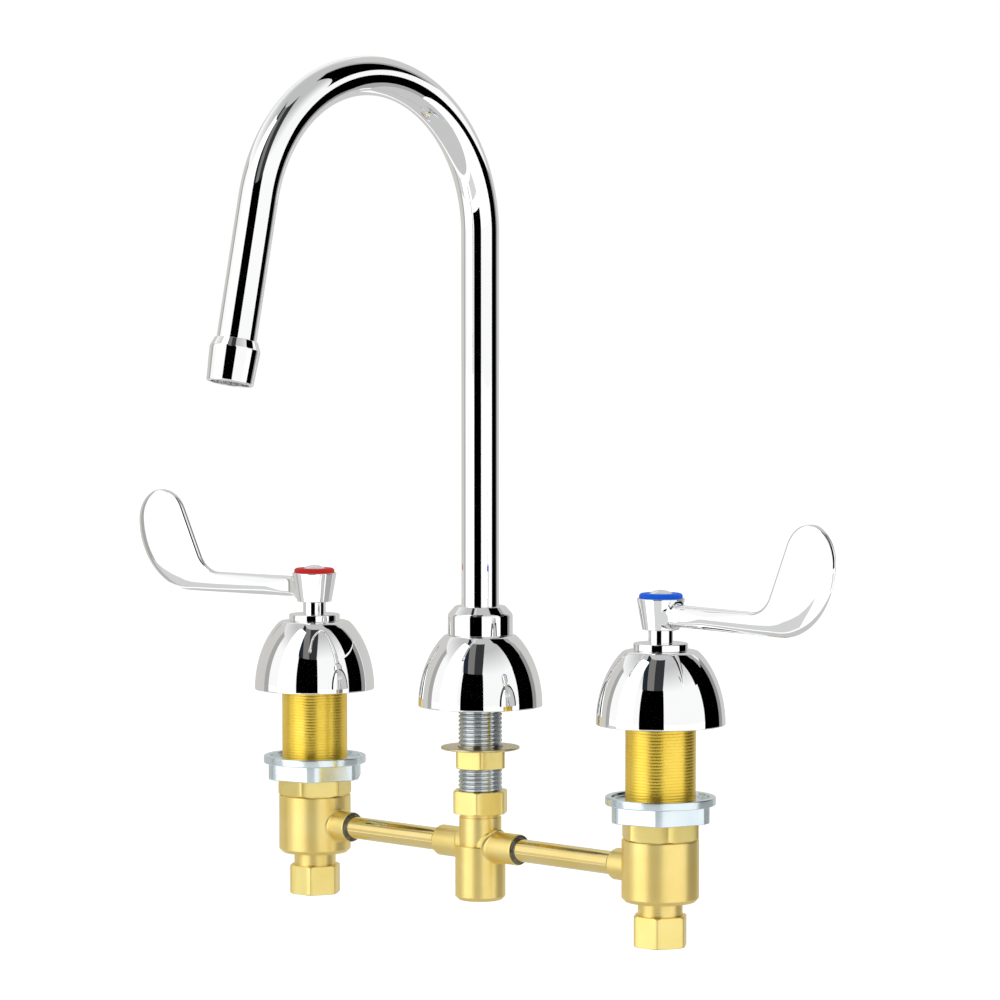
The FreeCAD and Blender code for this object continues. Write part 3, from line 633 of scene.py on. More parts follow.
def hexagon_stops(flats: float, turn: float, bottom: float, top: float, bore: float,
                  slope: float) -> list[Stop]:
    """Outline of a hexagon nut whose corners are turned off at both ends.

    Args:
        flats: size across flats.
        turn: degrees from +X to a corner.
        bottom, top: heights of its ends.
        bore: radius of its hole.
        slope: degrees of the turned corners below level.

    Returns:
        The outline's stops, from the bore at the foot round to the bore at the top.
    """
    inner = flats / 2 + HEX_REACH
    fall = math.tan(math.radians(slope))
    blunt = flats / math.sqrt(3) - HEX_BLUNT

    def edge(angle: float) -> float:
        """Radius of the hexagon in a direction."""
        return lesser(hexagon_radius(angle, flats, turn), blunt, HEX_CRISPNESS)

    def rim(end: float, sign: float, inset: float) -> Rule:
        """Rule for the edge between the sides and the turned corners.

        Args:
            end: height of the nut's end.
            sign: +1 at the top, -1 at the foot.
            inset: how far it lies inwards of the sides.

        Returns:
            The rule.
        """
        def rule(angle: float) -> Spot:
            """Radius and height in a direction."""
            radius = edge(angle) - inset
            return radius, end - sign * (max(0.0, radius - inner) * fall + HEX_SOFTEN - inset)
        return rule

    def face(end: float) -> Rule:
        """Rule for the edge of the flat face at one end."""
        return lambda angle: (min(inner, edge(angle) - HEX_SOFTEN) - HEX_FACE_ROOM, end)

    return [(bore, bottom), face(bottom), rim(bottom, -1, HEX_SOFTEN), rim(bottom, -1, 0.0),
            rim(top, 1, 0.0), rim(top, 1, HEX_SOFTEN), face(top), (bore, top)]


@dataclass
class DomeCover:
    """Bell-shaped cover over a deck hole: an elliptical shell with a flat top."""

    node: str
    hole: float
    crown_rise: float = 6.6
    wall: float = 1.2
    shoulder: float = 3.0
    rim_round: float = 0.45
    steps: int = 44
    shoulder_start: float = 0.7  # how far below the top the side's points stop, as a share of the shoulder
    hole_round: float = 0.2

    def side(self, radius: float, crown: float, top: float) -> list[Corner]:
        """Points up the side of an ellipse, from its rim.

        Args:
            radius: the ellipse's radius at the rim.
            crown: the height that it would reach.
            top: the height at which it stops.

        Returns:
            The points, as corners without rounding.
        """
        return [(radius * math.sqrt(1 - (top * i / self.steps / crown) ** 2), top * i / self.steps, 0.0)
                for i in range(self.steps + 1)]

    def build(self) -> None:
        """Makes the dome."""
        box = NodeBox.of(self.node)
        height, radius = box.top, box.radius
        crown = height + self.crown_rise
        outer = self.side(radius, crown, height - self.shoulder_start * self.shoulder)
        inner = self.side(radius - self.wall, crown - self.wall, height - self.wall)
        outer[0] = (radius, 0.0, self.rim_round)
        inner[0] = (radius - self.wall, 0.0, self.rim_round)
        shoulder = (radius * math.sqrt(1 - (height / crown) ** 2), height, self.shoulder)
        hole = [(self.hole, height, self.hole_round), (self.hole, height - self.wall, 0.0)]
        corners = [*outer, shoulder, *hole, *inner[::-1]]
        shell = Shell.ring_of(self.node + "_dome", corners, ROUND_SEGMENTS, Matrix.Translation(box.axis))
        shell.object(CHROME, Body.BASE, self.node)


@dataclass
class Gooseneck:
    """The swinging spout: bent tube, bell nut, aerator and the dome under them."""

    tube_radius: float = 7.94
    tube_wall: float = 1.2
    arc_radius: float = 63.5
    arc_height: float = 198.3
    lean: float = 12.0
    leg: float = 57.5
    overlap: float = 7.0         # tube inside the aerator
    arc_steps: int = 120
    run_steps: int = 6
    aerator_length: float = 17.5
    aerator_radius: float = 10.1
    aerator_foot: float = 9.4
    aerator_neck: float = 8.6
    cone_height: float = 3.6
    lip_radius: float = 7.8
    lip_depth: float = 2.2
    socket_depth: float = 8.0    # from the aerator's top to where its bore narrows
    nut_room: float = 0.1        # radial, round the tube
    nut_wall: float = 0.95
    nut_roof: float = 3.4
    nut_cone: float = 3.5
    nut_lip: float = 10.6
    dome_hole: float = 13.0

    def way(self) -> Vector:
        """Direction in which the water leaves."""
        lean = math.radians(self.lean)
        return Vector((0.0, -math.sin(lean), -math.cos(lean)))

    def bend(self, turn: float) -> Vector:
        """Point on the arch where the tube has turned through an angle, in radians."""
        return Vector((0, -self.arc_radius * (1 - math.cos(turn)),
                       self.arc_height + self.arc_radius * math.sin(turn)))

    def spine(self, start: float) -> list[tuple[Vector, float]]:
        """Centre line of the tube, from its foot.

        Args:
            start: height of the foot.

        Returns:
            Points, each with the angle that the tube has turned through, in radians.
        """
        end = math.radians(180 - self.lean)
        line = [(Vector((0, 0, start + (self.arc_height - start) * i / self.run_steps)), 0.0)
                for i in range(self.run_steps)]
        for i in range(self.arc_steps + 1):
            turn = end * i / self.arc_steps
            line.append((self.bend(turn), turn))
        last = line[-1][0]
        for i in range(1, self.run_steps + 1):
            line.append((last + self.way() * ((self.leg + self.overlap) * i / self.run_steps), end))
        return line

    def outlet(self) -> Matrix:
        """Frame on the tube's outlet plane.

        Returns:
            The frame, with its Z the way that the water leaves.
        """
        end = math.radians(180 - self.lean)
        return Matrix.Translation(self.bend(end) + self.way() * self.leg) @ Matrix.Rotation(end, 4, "X")

    def tube(self) -> None:
        """Makes the bent tube, hollow from end to end."""
        line = self.spine(NodeBox.of("spout_tube").bottom)
        walls = []
        for radius in (self.tube_radius, self.tube_radius - self.tube_wall):
            rings = []
            for point, turn in line:
                across = Vector((0, math.cos(turn), math.sin(turn)))
                rings.append([point + radius * (math.cos(a) * Vector((1, 0, 0)) + math.sin(a) * across)
                              for a in even_angles(SMALL_SEGMENTS)])
            walls.append(rings)
        shell = Shell("gooseneck_tube")
        shell.rings(walls[0] + walls[1][::-1], looped=True)
        shell.object(CHROME, Body.SPOUT, "spout_tube")

    def aerator(self) -> None:
        """Makes the aerator's shell, with its cone and rounded lip."""
        bore, foot = self.tube_radius + THREAD_FIT, self.aerator_length
        corners = [(bore, 0.0, 0.0), (self.aerator_neck, 0.0, 0.2),
                   (self.aerator_radius, self.cone_height, 1.6), (self.aerator_foot, foot, 0.8),
                   (self.lip_radius, foot, 0.3), (self.lip_radius, foot - self.lip_depth, 0.0),
                   (bore, self.socket_depth, 0.0)]
        shell = Shell.ring_of("aerator_shell", corners, ROUND_SEGMENTS, self.outlet())
        shell.object(CHROME, Body.SPOUT, "aerator_housing")

    def nut(self) -> None:
        """Makes the bell nut over the dome, with a cone on its top."""
        box = NodeBox.of("spout_nut")
        bore, cavity = self.tube_radius + self.nut_room, box.radius - self.nut_wall
        cone, roof = box.top - self.nut_cone, box.top - self.nut_roof
        corners = [(cavity, box.bottom, 0.0), (box.radius, box.bottom, 0.3), (box.radius, cone, 2.4),
                   (self.nut_lip, box.top, 0.7), (bore, box.top, 0.25), (bore, roof, 0.0),
                   (cavity, roof, 0.0)]
        Shell.ring_of("spout_bell_nut", corners, ROUND_SEGMENTS).object(CHROME, Body.BASE, "spout_nut")

    def build(self) -> None:
        """Makes the spout's pieces."""
        self.tube()
        self.aerator()
        self.nut()
        DomeCover("spout_escutcheon", self.dome_hole).build()


@dataclass
class SpoutShank:
    """What holds the spout below the deck: threaded shank, washer, locknut and coupling nut."""

    radius: float = 9.2
    bore: float = 6.0
    depth: float = 0.6
    pitch: float = 1.814
    crest: float = 0.42
    plain: float = 13.6          # height where the thread ends under the head
    head_flare: float = 1.2
    head_foot: float = 17.6
    head_bore: float = 10.2
    socket_floor: float = 20.0
    nut_slope: float = 34.0
    locknut_flats: float = 20.4
    locknut_turn: float = 16.2
    coupling_flats: float = 21.7
    coupling_turn: float = 6.7
    washer_room: float = 0.3     # radial, round the thread

    def shank(self) -> None:
        """Makes the shank with its helical thread and the head that the spout turns in."""
        box = NodeBox.of("spout_shank")
        shell = Shell("threaded_shank")
        shell.threaded(Thread(self.radius, self.depth, self.pitch, box.bottom, self.plain, self.bore,
                              self.crest), AT_SPOUT)
        head = [(self.bore, self.plain, 0.0), (self.radius - self.depth, self.plain, 0.0),
                (self.radius, self.head_foot, 0.0), (box.radius, self.head_foot + self.head_flare, 0.2),
                (box.radius, box.top, 0.2), (self.head_bore, box.top, 0.2),
                (self.head_bore, self.socket_floor, 0.0), (self.bore, self.socket_floor, 0.0)]
        shell.turned(rounded(head), even_angles(SMALL_SEGMENTS), AT_SPOUT)
        shell.object(GREY_ZINC, Body.BASE, "spout_shank")

    def washer(self) -> None:
        """Makes the thin stamped washer."""
        box, inner = NodeBox.of("shank_washer"), self.radius + self.washer_room
        corners = [(inner, box.bottom, 0.2), (box.radius, box.bottom, 0.35), (box.radius, box.top, 0.3),
                   (inner, box.top, 0.2)]
        shell = Shell.ring_of("shank_flat_washer", corners, ROUND_SEGMENTS)
        shell.object(THIN_BRASS, Body.BASE, "shank_washer", "drawn_brass")

    def nut(self, node: str, name: str, flats: float, turn: float) -> None:
        """Makes one of the hexagon nuts on the shank.

        Args:
            node: the node that it stands for.
            name: the piece's name.
            flats: size across flats.
            turn: degrees from +X to a corner.
        """
        box, bore = NodeBox.of(node), self.radius + THREAD_FIT
        shell = Shell(name)
        shell.turned(hexagon_stops(flats, turn, box.bottom, box.top, bore, self.nut_slope),
                     corner_angles(HEX_SIDES, turn), AT_SPOUT)
        shell.object(SATIN_BRASS, Body.BASE, node)

    def build(self) -> None:
        """Makes the shank's pieces."""
        self.shank()
        self.washer()
        self.nut("shank_locknut", "shank_lock_nut", self.locknut_flats, self.locknut_turn)
        self.nut("coupling_nut", "shank_coupling_nut", self.coupling_flats, self.coupling_turn)


@dataclass(frozen=True)
class Boss:
    """Side boss of a casting, with a small fillet at its root and a socket for the link tube."""

    radius: float = 6.5
    chamfer: float = 0.6
    fillet: float = 0.9
    socket_radius: float = 4.82
    socket_depth: float = 6.5
    start: float = 0.4           # where it starts inside the casting, as a share of the casting's radius
    sink: float = 0.02           # how far the fillet's rim lies in the casting
    bow_in: float = 0.3          # where the chamfer's rounded middle lies, as shares of the chamfer
    bow_down: float = 0.25
    mouth: float = 0.15          # how far the socket's edge is broken

    def add(self, shell: Shell, centre: Vector, sign: float, casting_radius: float, reach: float) -> None:
        """Adds the boss to a casting's shell.

        Args:
            shell: the casting.
            centre: where the boss's axis crosses the casting's axis.
            sign: +1 for towards +X, -1 for towards -X.
            casting_radius: radius of the round casting that it stands on.
            reach: distance from the casting's axis to the boss's end.
        """
        def saddle(out: float, lift: float) -> Rule:
            """Rule for a ring that lies on the casting's round side.

            Args:
                out: how far it stands out from the boss.
                lift: how far it stands off the casting's side.

            Returns:
                The rule.
            """
            def rule(angle: float) -> Spot:
                """Radius and height in a direction."""
                radius = self.radius + out
                side = radius * math.sin(angle)
                return radius, math.sqrt(casting_radius ** 2 - side ** 2) + lift
            return rule

        start, floor = casting_radius * self.start, reach - self.socket_depth
        stops: list[Stop] = [(0.0, start), (self.radius + self.fillet, start)]
        for step in range(FILLET_STEPS + 1):
            turn = math.pi / 2 * step / FILLET_STEPS
            lift = self.fillet * (1 - math.cos(turn)) - self.sink
            stops.append(saddle(self.fillet * (1 - math.sin(turn)), lift))
        stops += [(self.radius, reach - self.chamfer),
                  (self.radius - self.chamfer * self.bow_in, reach - self.chamfer * self.bow_down),
                  (self.radius - self.chamfer, reach), (self.socket_radius + self.mouth, reach),
                  (self.socket_radius, reach - self.mouth), (self.socket_radius, floor), (0.0, floor)]
        shell.turned(stops, even_angles(SMALL_SEGMENTS), along_x(centre, sign), looped=False)


@dataclass
class Tee:
    """Brass tee under the spout, its link tubes and the solder round them."""

    radius: float = 10.6
    neck_radius: float = 8.9
    bore: float = 6.0
    step_rise: float = 0.2
    foot_chamfer: float = 1.4
    groove_depth: float = 0.5
    groove_top: float = -46.1
    groove_height: float = 0.8
    reach: float = 23.0
    valve_reach: float = 24.0
    tube_radius: float = 4.76
    tube_wall: float = 0.9
    solder_radius: float = 6.08
    solder_length: float = 1.4
    solder_sink: float = 0.05    # how far it reaches into the boss, and clears the tube
    solder_lift: float = 0.06    # how thick it is at its rim
    floor: float = 7.0
    boss: Boss = Boss()

    @staticmethod
    def height() -> float:
        """Height of the link tubes' axis."""
        box = NodeBox.of("hot_link_tube")
        return (box.bottom + box.top) / 2

    def body(self) -> None:
        """Makes the tee."""
        box, axis = NodeBox.of("tee_body"), self.height()
        step, floor = axis + self.step_rise, box.bottom + self.floor
        groove, low = self.neck_radius - self.groove_depth, self.groove_top - self.groove_height
        corners = [(0.0, box.bottom, 0.0), (self.radius - self.foot_chamfer, box.bottom, 0.4),
                   (self.radius, box.bottom + self.foot_chamfer, 0.5), (self.radius, step, 0.5),
                   (self.neck_radius, step, 0.2), (self.neck_radius, low, 0.15), (groove, low, 0.1),
                   (groove, self.groove_top, 0.1), (self.neck_radius, self.groove_top, 0.15),
                   (self.neck_radius, box.top, 0.3), (self.bore, box.top, 0.3), (self.bore, floor, 0.0),
                   (0.0, floor, 0.0)]
        shell = Shell("tee_casting")
        shell.turned(rounded(corners, looped=False), even_angles(ROUND_SEGMENTS), AT_SPOUT, looped=False)
        for sign in (-1.0, 1.0):
            self.boss.add(shell, Vector((0, 0, axis)), sign, self.radius, self.reach)
        shell.object(SATIN_BRASS, Body.BASE, "tee_body")

    def link(self, side: Side) -> None:
        """Makes the tube to one valve.

        Args:
            side: which valve.
        """
        box = NodeBox.of(side.value + "_link_tube")
        outer, inner = self.tube_radius, self.tube_radius - self.tube_wall
        length, place = box.high.x - box.low.x, along_x(Vector((box.low.x, 0, self.height())), 1.0)
        corners = [(inner, 0.0, 0.1), (outer, 0.0, 0.2), (outer, length, 0.2), (inner, length, 0.1)]
        shell = Shell.ring_of(side.value + "_drawn_tube", corners, SMALL_SEGMENTS, place)
        shell.object(DRAWN_BRASS, Body.BASE, side.value + "_link_tube")

    def solder(self) -> None:
        """Makes the four hollow fillets of solder where the tubes enter their bosses."""
        valve = abs(NodeBox.of("hot_sleeve").axis.x)
        wide, sink = self.solder_radius - self.tube_radius, self.solder_sink
        outline: list[Stop] = [(self.tube_radius, -sink), (self.solder_radius, -sink)]
        for step in range(FILLET_STEPS + 1):
            turn = math.pi / 2 * step / FILLET_STEPS
            outline.append((self.tube_radius + wide * (1 - math.sin(turn)) + sink,
                            self.solder_length * (1 - math.cos(turn)) + self.solder_lift))
        shell = Shell("solder_fillets")
        for sign in (-1.0, 1.0):
            for start, way in ((self.reach, sign), (valve - self.valve_reach, -sign)):
                place = along_x(Vector((sign * start, 0, self.height())), way)
                shell.turned(outline, even_angles(SMALL_SEGMENTS), place)
        shell.object(SOLDER, Body.BASE, "solder_rings")

    def build(self) -> None:
        """Makes the tee, both tubes and the solder."""
        self.body()
        for side in Side:
            self.link(side)
        self.solder()


@dataclass
class Valve:
    """One valve below and through the deck: casting, sleeve, clamping nut, inlet nut and collar."""

    side: Side
    sleeve_radius: float = 14.29
    sleeve_pitch: float = 1.27
    sleeve_depth: float = 0.12
    sleeve_crest: float = 0.62
    sleeve_thread_top: float = 21.0
    sleeve_relief: float = 11.3
    neck_radius: float = 9.9
    spigot_radius: float = 12.8
    spigot: float = 7.5
    hex_flats: float = 28.7
    hex_slope: float = 32.0
    body_radius: float = 15.7
    body_height: float = 25.2
    foot_chamfer: float = 1.5
    inlet_radius: float = 9.1
    inlet_thread: float = 0.06
    inlet_pitch: float = 1.1
    inlet_crest: float = 0.5
    supply_radius: float = 6.4
    inlet_flats: float = 20.6
    inlet_turn: float = 6.0
    inlet_slope: float = 40.0
    boss_reach: float = 24.0
    flange_height: float = 3.35
    recess_radius: float = 19.6
    recess: float = 1.4
    nut_flats: float = 39.4
    nut_corners: float = 42.9
    nut_turn: float = 12.6
    stem_hole: float = 5.1
    neck_sink: float = 1.0       # how far the inlet neck's root lies in the casting
    neck_overlap: float = 0.5    # how far its thread runs on into the casting
    thread_sink: float = 0.4     # how far the sleeve's thread runs on into the hexagon
    shoulder: float = 1.0        # chamfer between the sleeve's thread and its neck
    recess_slope: float = 0.3
    inlet_floor: float = 3.6
    collar_roof: float = 1.4
    dome_room: float = 0.3       # radial, round the sleeve's neck
    boss: Boss = Boss()

    NUT_CRISPNESS = 90           # how sharply the clamping nut's sides meet its cut corners
    CUT_STEPS = 12               # edges that each of its sides and cut corners is drawn with

    def node(self, name: str) -> str:
        """Name of this side's node."""
        return f"{self.side.value}_{name}"

    def place(self) -> Matrix:
        """Frame on this valve's axis at height 0.

        Returns:
            The frame, half turned at the cold valve, so that bosses face inwards.
        """
        axis = NodeBox.of(self.node("sleeve")).axis
        turn = 0.0 if self.side is Side.HOT else math.pi
        return Matrix.Translation(axis) @ Matrix.Rotation(turn, 4, "Z")

    def casting(self) -> None:
        """Makes the valve's brass casting, with its side boss and its threaded inlet neck."""
        box = NodeBox.of(self.node("valve_body"))
        foot, neck = box.top - self.body_height, self.inlet_radius - self.inlet_thread
        corners = [(self.supply_radius, foot + self.neck_sink, 0.0), (neck, foot + self.neck_sink, 0.0),
                   (neck, foot, 0.0), (self.body_radius - self.foot_chamfer, foot, 0.5),
                   (self.body_radius, foot + self.foot_chamfer, 0.8), (self.body_radius, box.top, 0.5),
                   (self.spigot_radius, box.top, 0.0)]
        shell = Shell.ring_of(self.node("valve_casting"), corners, ROUND_SEGMENTS, self.place())
        boss_centre = self.place() @ Vector((0, 0, Tee.height()))
        self.boss.add(shell, boss_centre, -self.side.outward, self.body_radius, self.boss_reach)
        threads = Shell("threads")
        threads.threaded(Thread(self.inlet_radius, self.inlet_thread, self.inlet_pitch, box.bottom,
                                foot + self.neck_overlap, self.supply_radius, self.inlet_crest), self.place())
        spare = bpy.data.meshes.new("threads")
        threads.work.to_mesh(spare)
        threads.work.free()
        shell.work.from_mesh(spare)
        bpy.data.meshes.remove(spare)
        shell.object(SATIN_BRASS, Body.BASE, self.node("valve_body"))

    def sleeve_hexagon(self) -> None:
        """Makes the sleeve's hexagon, which is as satin as the casting that it sits on."""
        foot = NodeBox.of(self.node("sleeve")).bottom + self.spigot
        top, turn = NodeBox.of(self.node("flange_nut")).bottom, self.side.hexagon_turn
        shell = Shell(self.node("sleeve_hexagon"))
        shell.turned(hexagon_stops(self.hex_flats, turn, foot, top, self.sleeve_relief, self.hex_slope),
                     corner_angles(HEX_SIDES, turn), self.place())
        shell.object(SATIN_BRASS, Body.BASE, self.node("sleeve"), "turned_brass")

    def sleeve(self) -> None:
        """Makes the threaded sleeve through the deck, from its hexagon to the neck that the collar takes."""
        box = NodeBox.of(self.node("sleeve"))
        foot, top = NodeBox.of(self.node("flange_nut")).bottom - self.thread_sink, self.sleeve_thread_top
        shell = Shell(self.node("threaded_sleeve"))
        shell.threaded(Thread(self.sleeve_radius, self.sleeve_depth, self.sleeve_pitch, foot, top,
                              self.sleeve_relief, self.sleeve_crest), self.place())
        wide, rise = self.sleeve_radius - self.sleeve_depth, top + self.shoulder
        neck = [(self.stem_hole, top, 0.0), (wide, top, 0.0), (wide - self.shoulder, rise, 0.2),
                (self.neck_radius, rise, 0.2), (self.neck_radius, box.top, 0.4),
                (self.stem_hole, box.top, 0.2)]
        shell.turned(rounded(neck), even_angles(SMALL_SEGMENTS), self.place())
        shell.object(TURNED_BRASS, Body.BASE, self.node("sleeve"))

    def clamping_nut(self) -> None:
        """Makes the plated nut: a dished round flange over a hexagon with cut corners."""
        box = NodeBox.of(self.node("flange_nut"))
        bore, edge = self.sleeve_radius + THREAD_FIT, box.radius
        foot, dish, under = box.top - self.flange_height, box.top - self.recess, box.bottom

        def sides(inset: float, height: float) -> Rule:
            """Rule for the hexagon with cut corners.

            Args:
                inset: how far the ring lies inwards of the sides.
                height: its height.

            Returns:
                The rule.
            """
            def rule(angle: float) -> Spot:
                """Radius and height in a direction."""
                flat = hexagon_radius(angle, self.nut_flats, self.nut_turn)
                cut = hexagon_radius(angle, self.nut_corners, self.nut_turn + 180 / HEX_SIDES)
                return lesser(flat, cut, self.NUT_CRISPNESS) - inset, height
            return rule

        top = rounded([(bore, dish, 0.3), (self.recess_radius, dish, 0.4),
                       (self.recess_radius + self.recess_slope, box.top, 0.35), (edge, box.top, 0.5),
                       (edge, foot, 0.6)], looped=False)
        rim = [(edge, foot + 0.5), (edge - 0.15, foot + 0.12), (edge - 0.6, foot)]
        hexagon = [(-0.1, foot), (0.0, foot - 0.15), (0.0, under + 0.4), (0.12, under + 0.1), (0.4, under)]
        stops: list[Stop] = [*top[:-1], *rim, *(sides(*spot) for spot in hexagon), (bore + 0.4, under),
                             (bore, under + 0.4)]
        shell = Shell(self.node("clamping_nut"))
        angles = corner_angles(2 * HEX_SIDES, self.nut_turn + self.corner_step(), self.CUT_STEPS)
        shell.turned(stops, angles, self.place())
        shell.object(BRIGHT_ZINC, Body.BASE, self.node("flange_nut"))

    def corner_step(self) -> float:
        """Degrees from a cut corner's middle to where the cut meets the nut's flat."""
        half = math.pi / HEX_SIDES
        away = math.atan2(self.nut_flats / self.nut_corners - math.cos(half), math.sin(half))
        return 180 / HEX_SIDES - math.degrees(away)

    def inlet_nut(self) -> None:
        """Makes the compression nut at the inlet."""
        box = NodeBox.of(self.node("inlet_nut"))
        bore, floor = self.inlet_radius + THREAD_FIT, box.bottom + self.inlet_floor
        stops = hexagon_stops(self.inlet_flats, self.inlet_turn, box.bottom, box.top, self.supply_radius,
                              self.inlet_slope)
        stops[-1:] = [(bore, box.top), (bore, floor), (self.supply_radius, floor)]
        shell = Shell(self.node("compression_nut"))
        shell.turned(stops, corner_angles(HEX_SIDES, self.inlet_turn), self.place())
        shell.object(SATIN_BRASS, Body.BASE, self.node("inlet_nut"))

    def collar(self) -> None:
        """Makes the chromed collar on the dome's top."""
        box = NodeBox.of(self.node("collar"))
        inner, roof = self.neck_radius + THREAD_FIT, box.top - self.collar_roof
        corners = [(inner, box.bottom, 0.0), (box.radius, box.bottom, 0.25), (box.radius, box.top, 0.55),
                   (self.stem_hole, box.top, 0.25), (self.stem_hole, roof, 0.0), (inner, roof, 0.0)]
        shell = Shell.ring_of(self.node("dome_collar"), corners, ROUND_SEGMENTS, self.place())
        shell.object(CHROME, Body.BASE, self.node("collar"))

    def build(self) -> None:
        """Makes the valve's fixed pieces."""
        DomeCover(self.node("escutcheon"), self.neck_radius + self.dome_room).build()
        self.casting()
        self.sleeve_hexagon()
        self.sleeve()
        self.clamping_nut()
        self.inlet_nut()
        self.collar()


def within_one(value: float) -> float:
    """The value, kept between 0 and 1."""
    return min(1.0, max(0.0, value))


@dataclass(frozen=True)
class Section:
    """One cross-section of the handle's arm or blade, between its lower and its upper edge."""

    low: Vector
    high: Vector
    thickness: float
    low_round: float         # how far the rounding of the lower edge reaches up the face
    high_round: float
    taper: float             # how much wider it grows for each mm of height

    ROUND_STEPS = 11         # steps on each quarter of its rounded edges

    def ring(self) -> list[Vector]:
        """Points round the section.

        Returns:
            The points, as vectors with X along the handle, Y across it and Z up.
        """
        across = self.high - self.low
        width = across.length
        if width < TINY:
            return [Vector((self.low.x, 0.0, self.low.y))]
        across.normalize()
        limit = width / 2
        low_round, high_round = min(self.low_round, limit), min(self.high_round, limit)
        half, steps = self.thickness / 2, self.ROUND_STEPS
        face: list[Spot] = []
        for i in range(steps + 1):
            turn = math.pi / 2 * i / steps
            face.append((low_round * (1 - math.cos(turn)), half * math.sin(turn)))
        for i in range(steps + 1):
            turn = math.pi / 2 * (1 - i / steps)
            face.append((width - high_round * (1 - math.cos(turn)), half * math.sin(turn)))
        outline = face + [(up, -out) for up, out in face[-2:0:-1]]
        points = []
        for up, out in outline:
            spot = self.low + across * up
            points.append(Vector((spot.x, out * (1 + self.taper * (up - limit)), spot.y)))
        return points


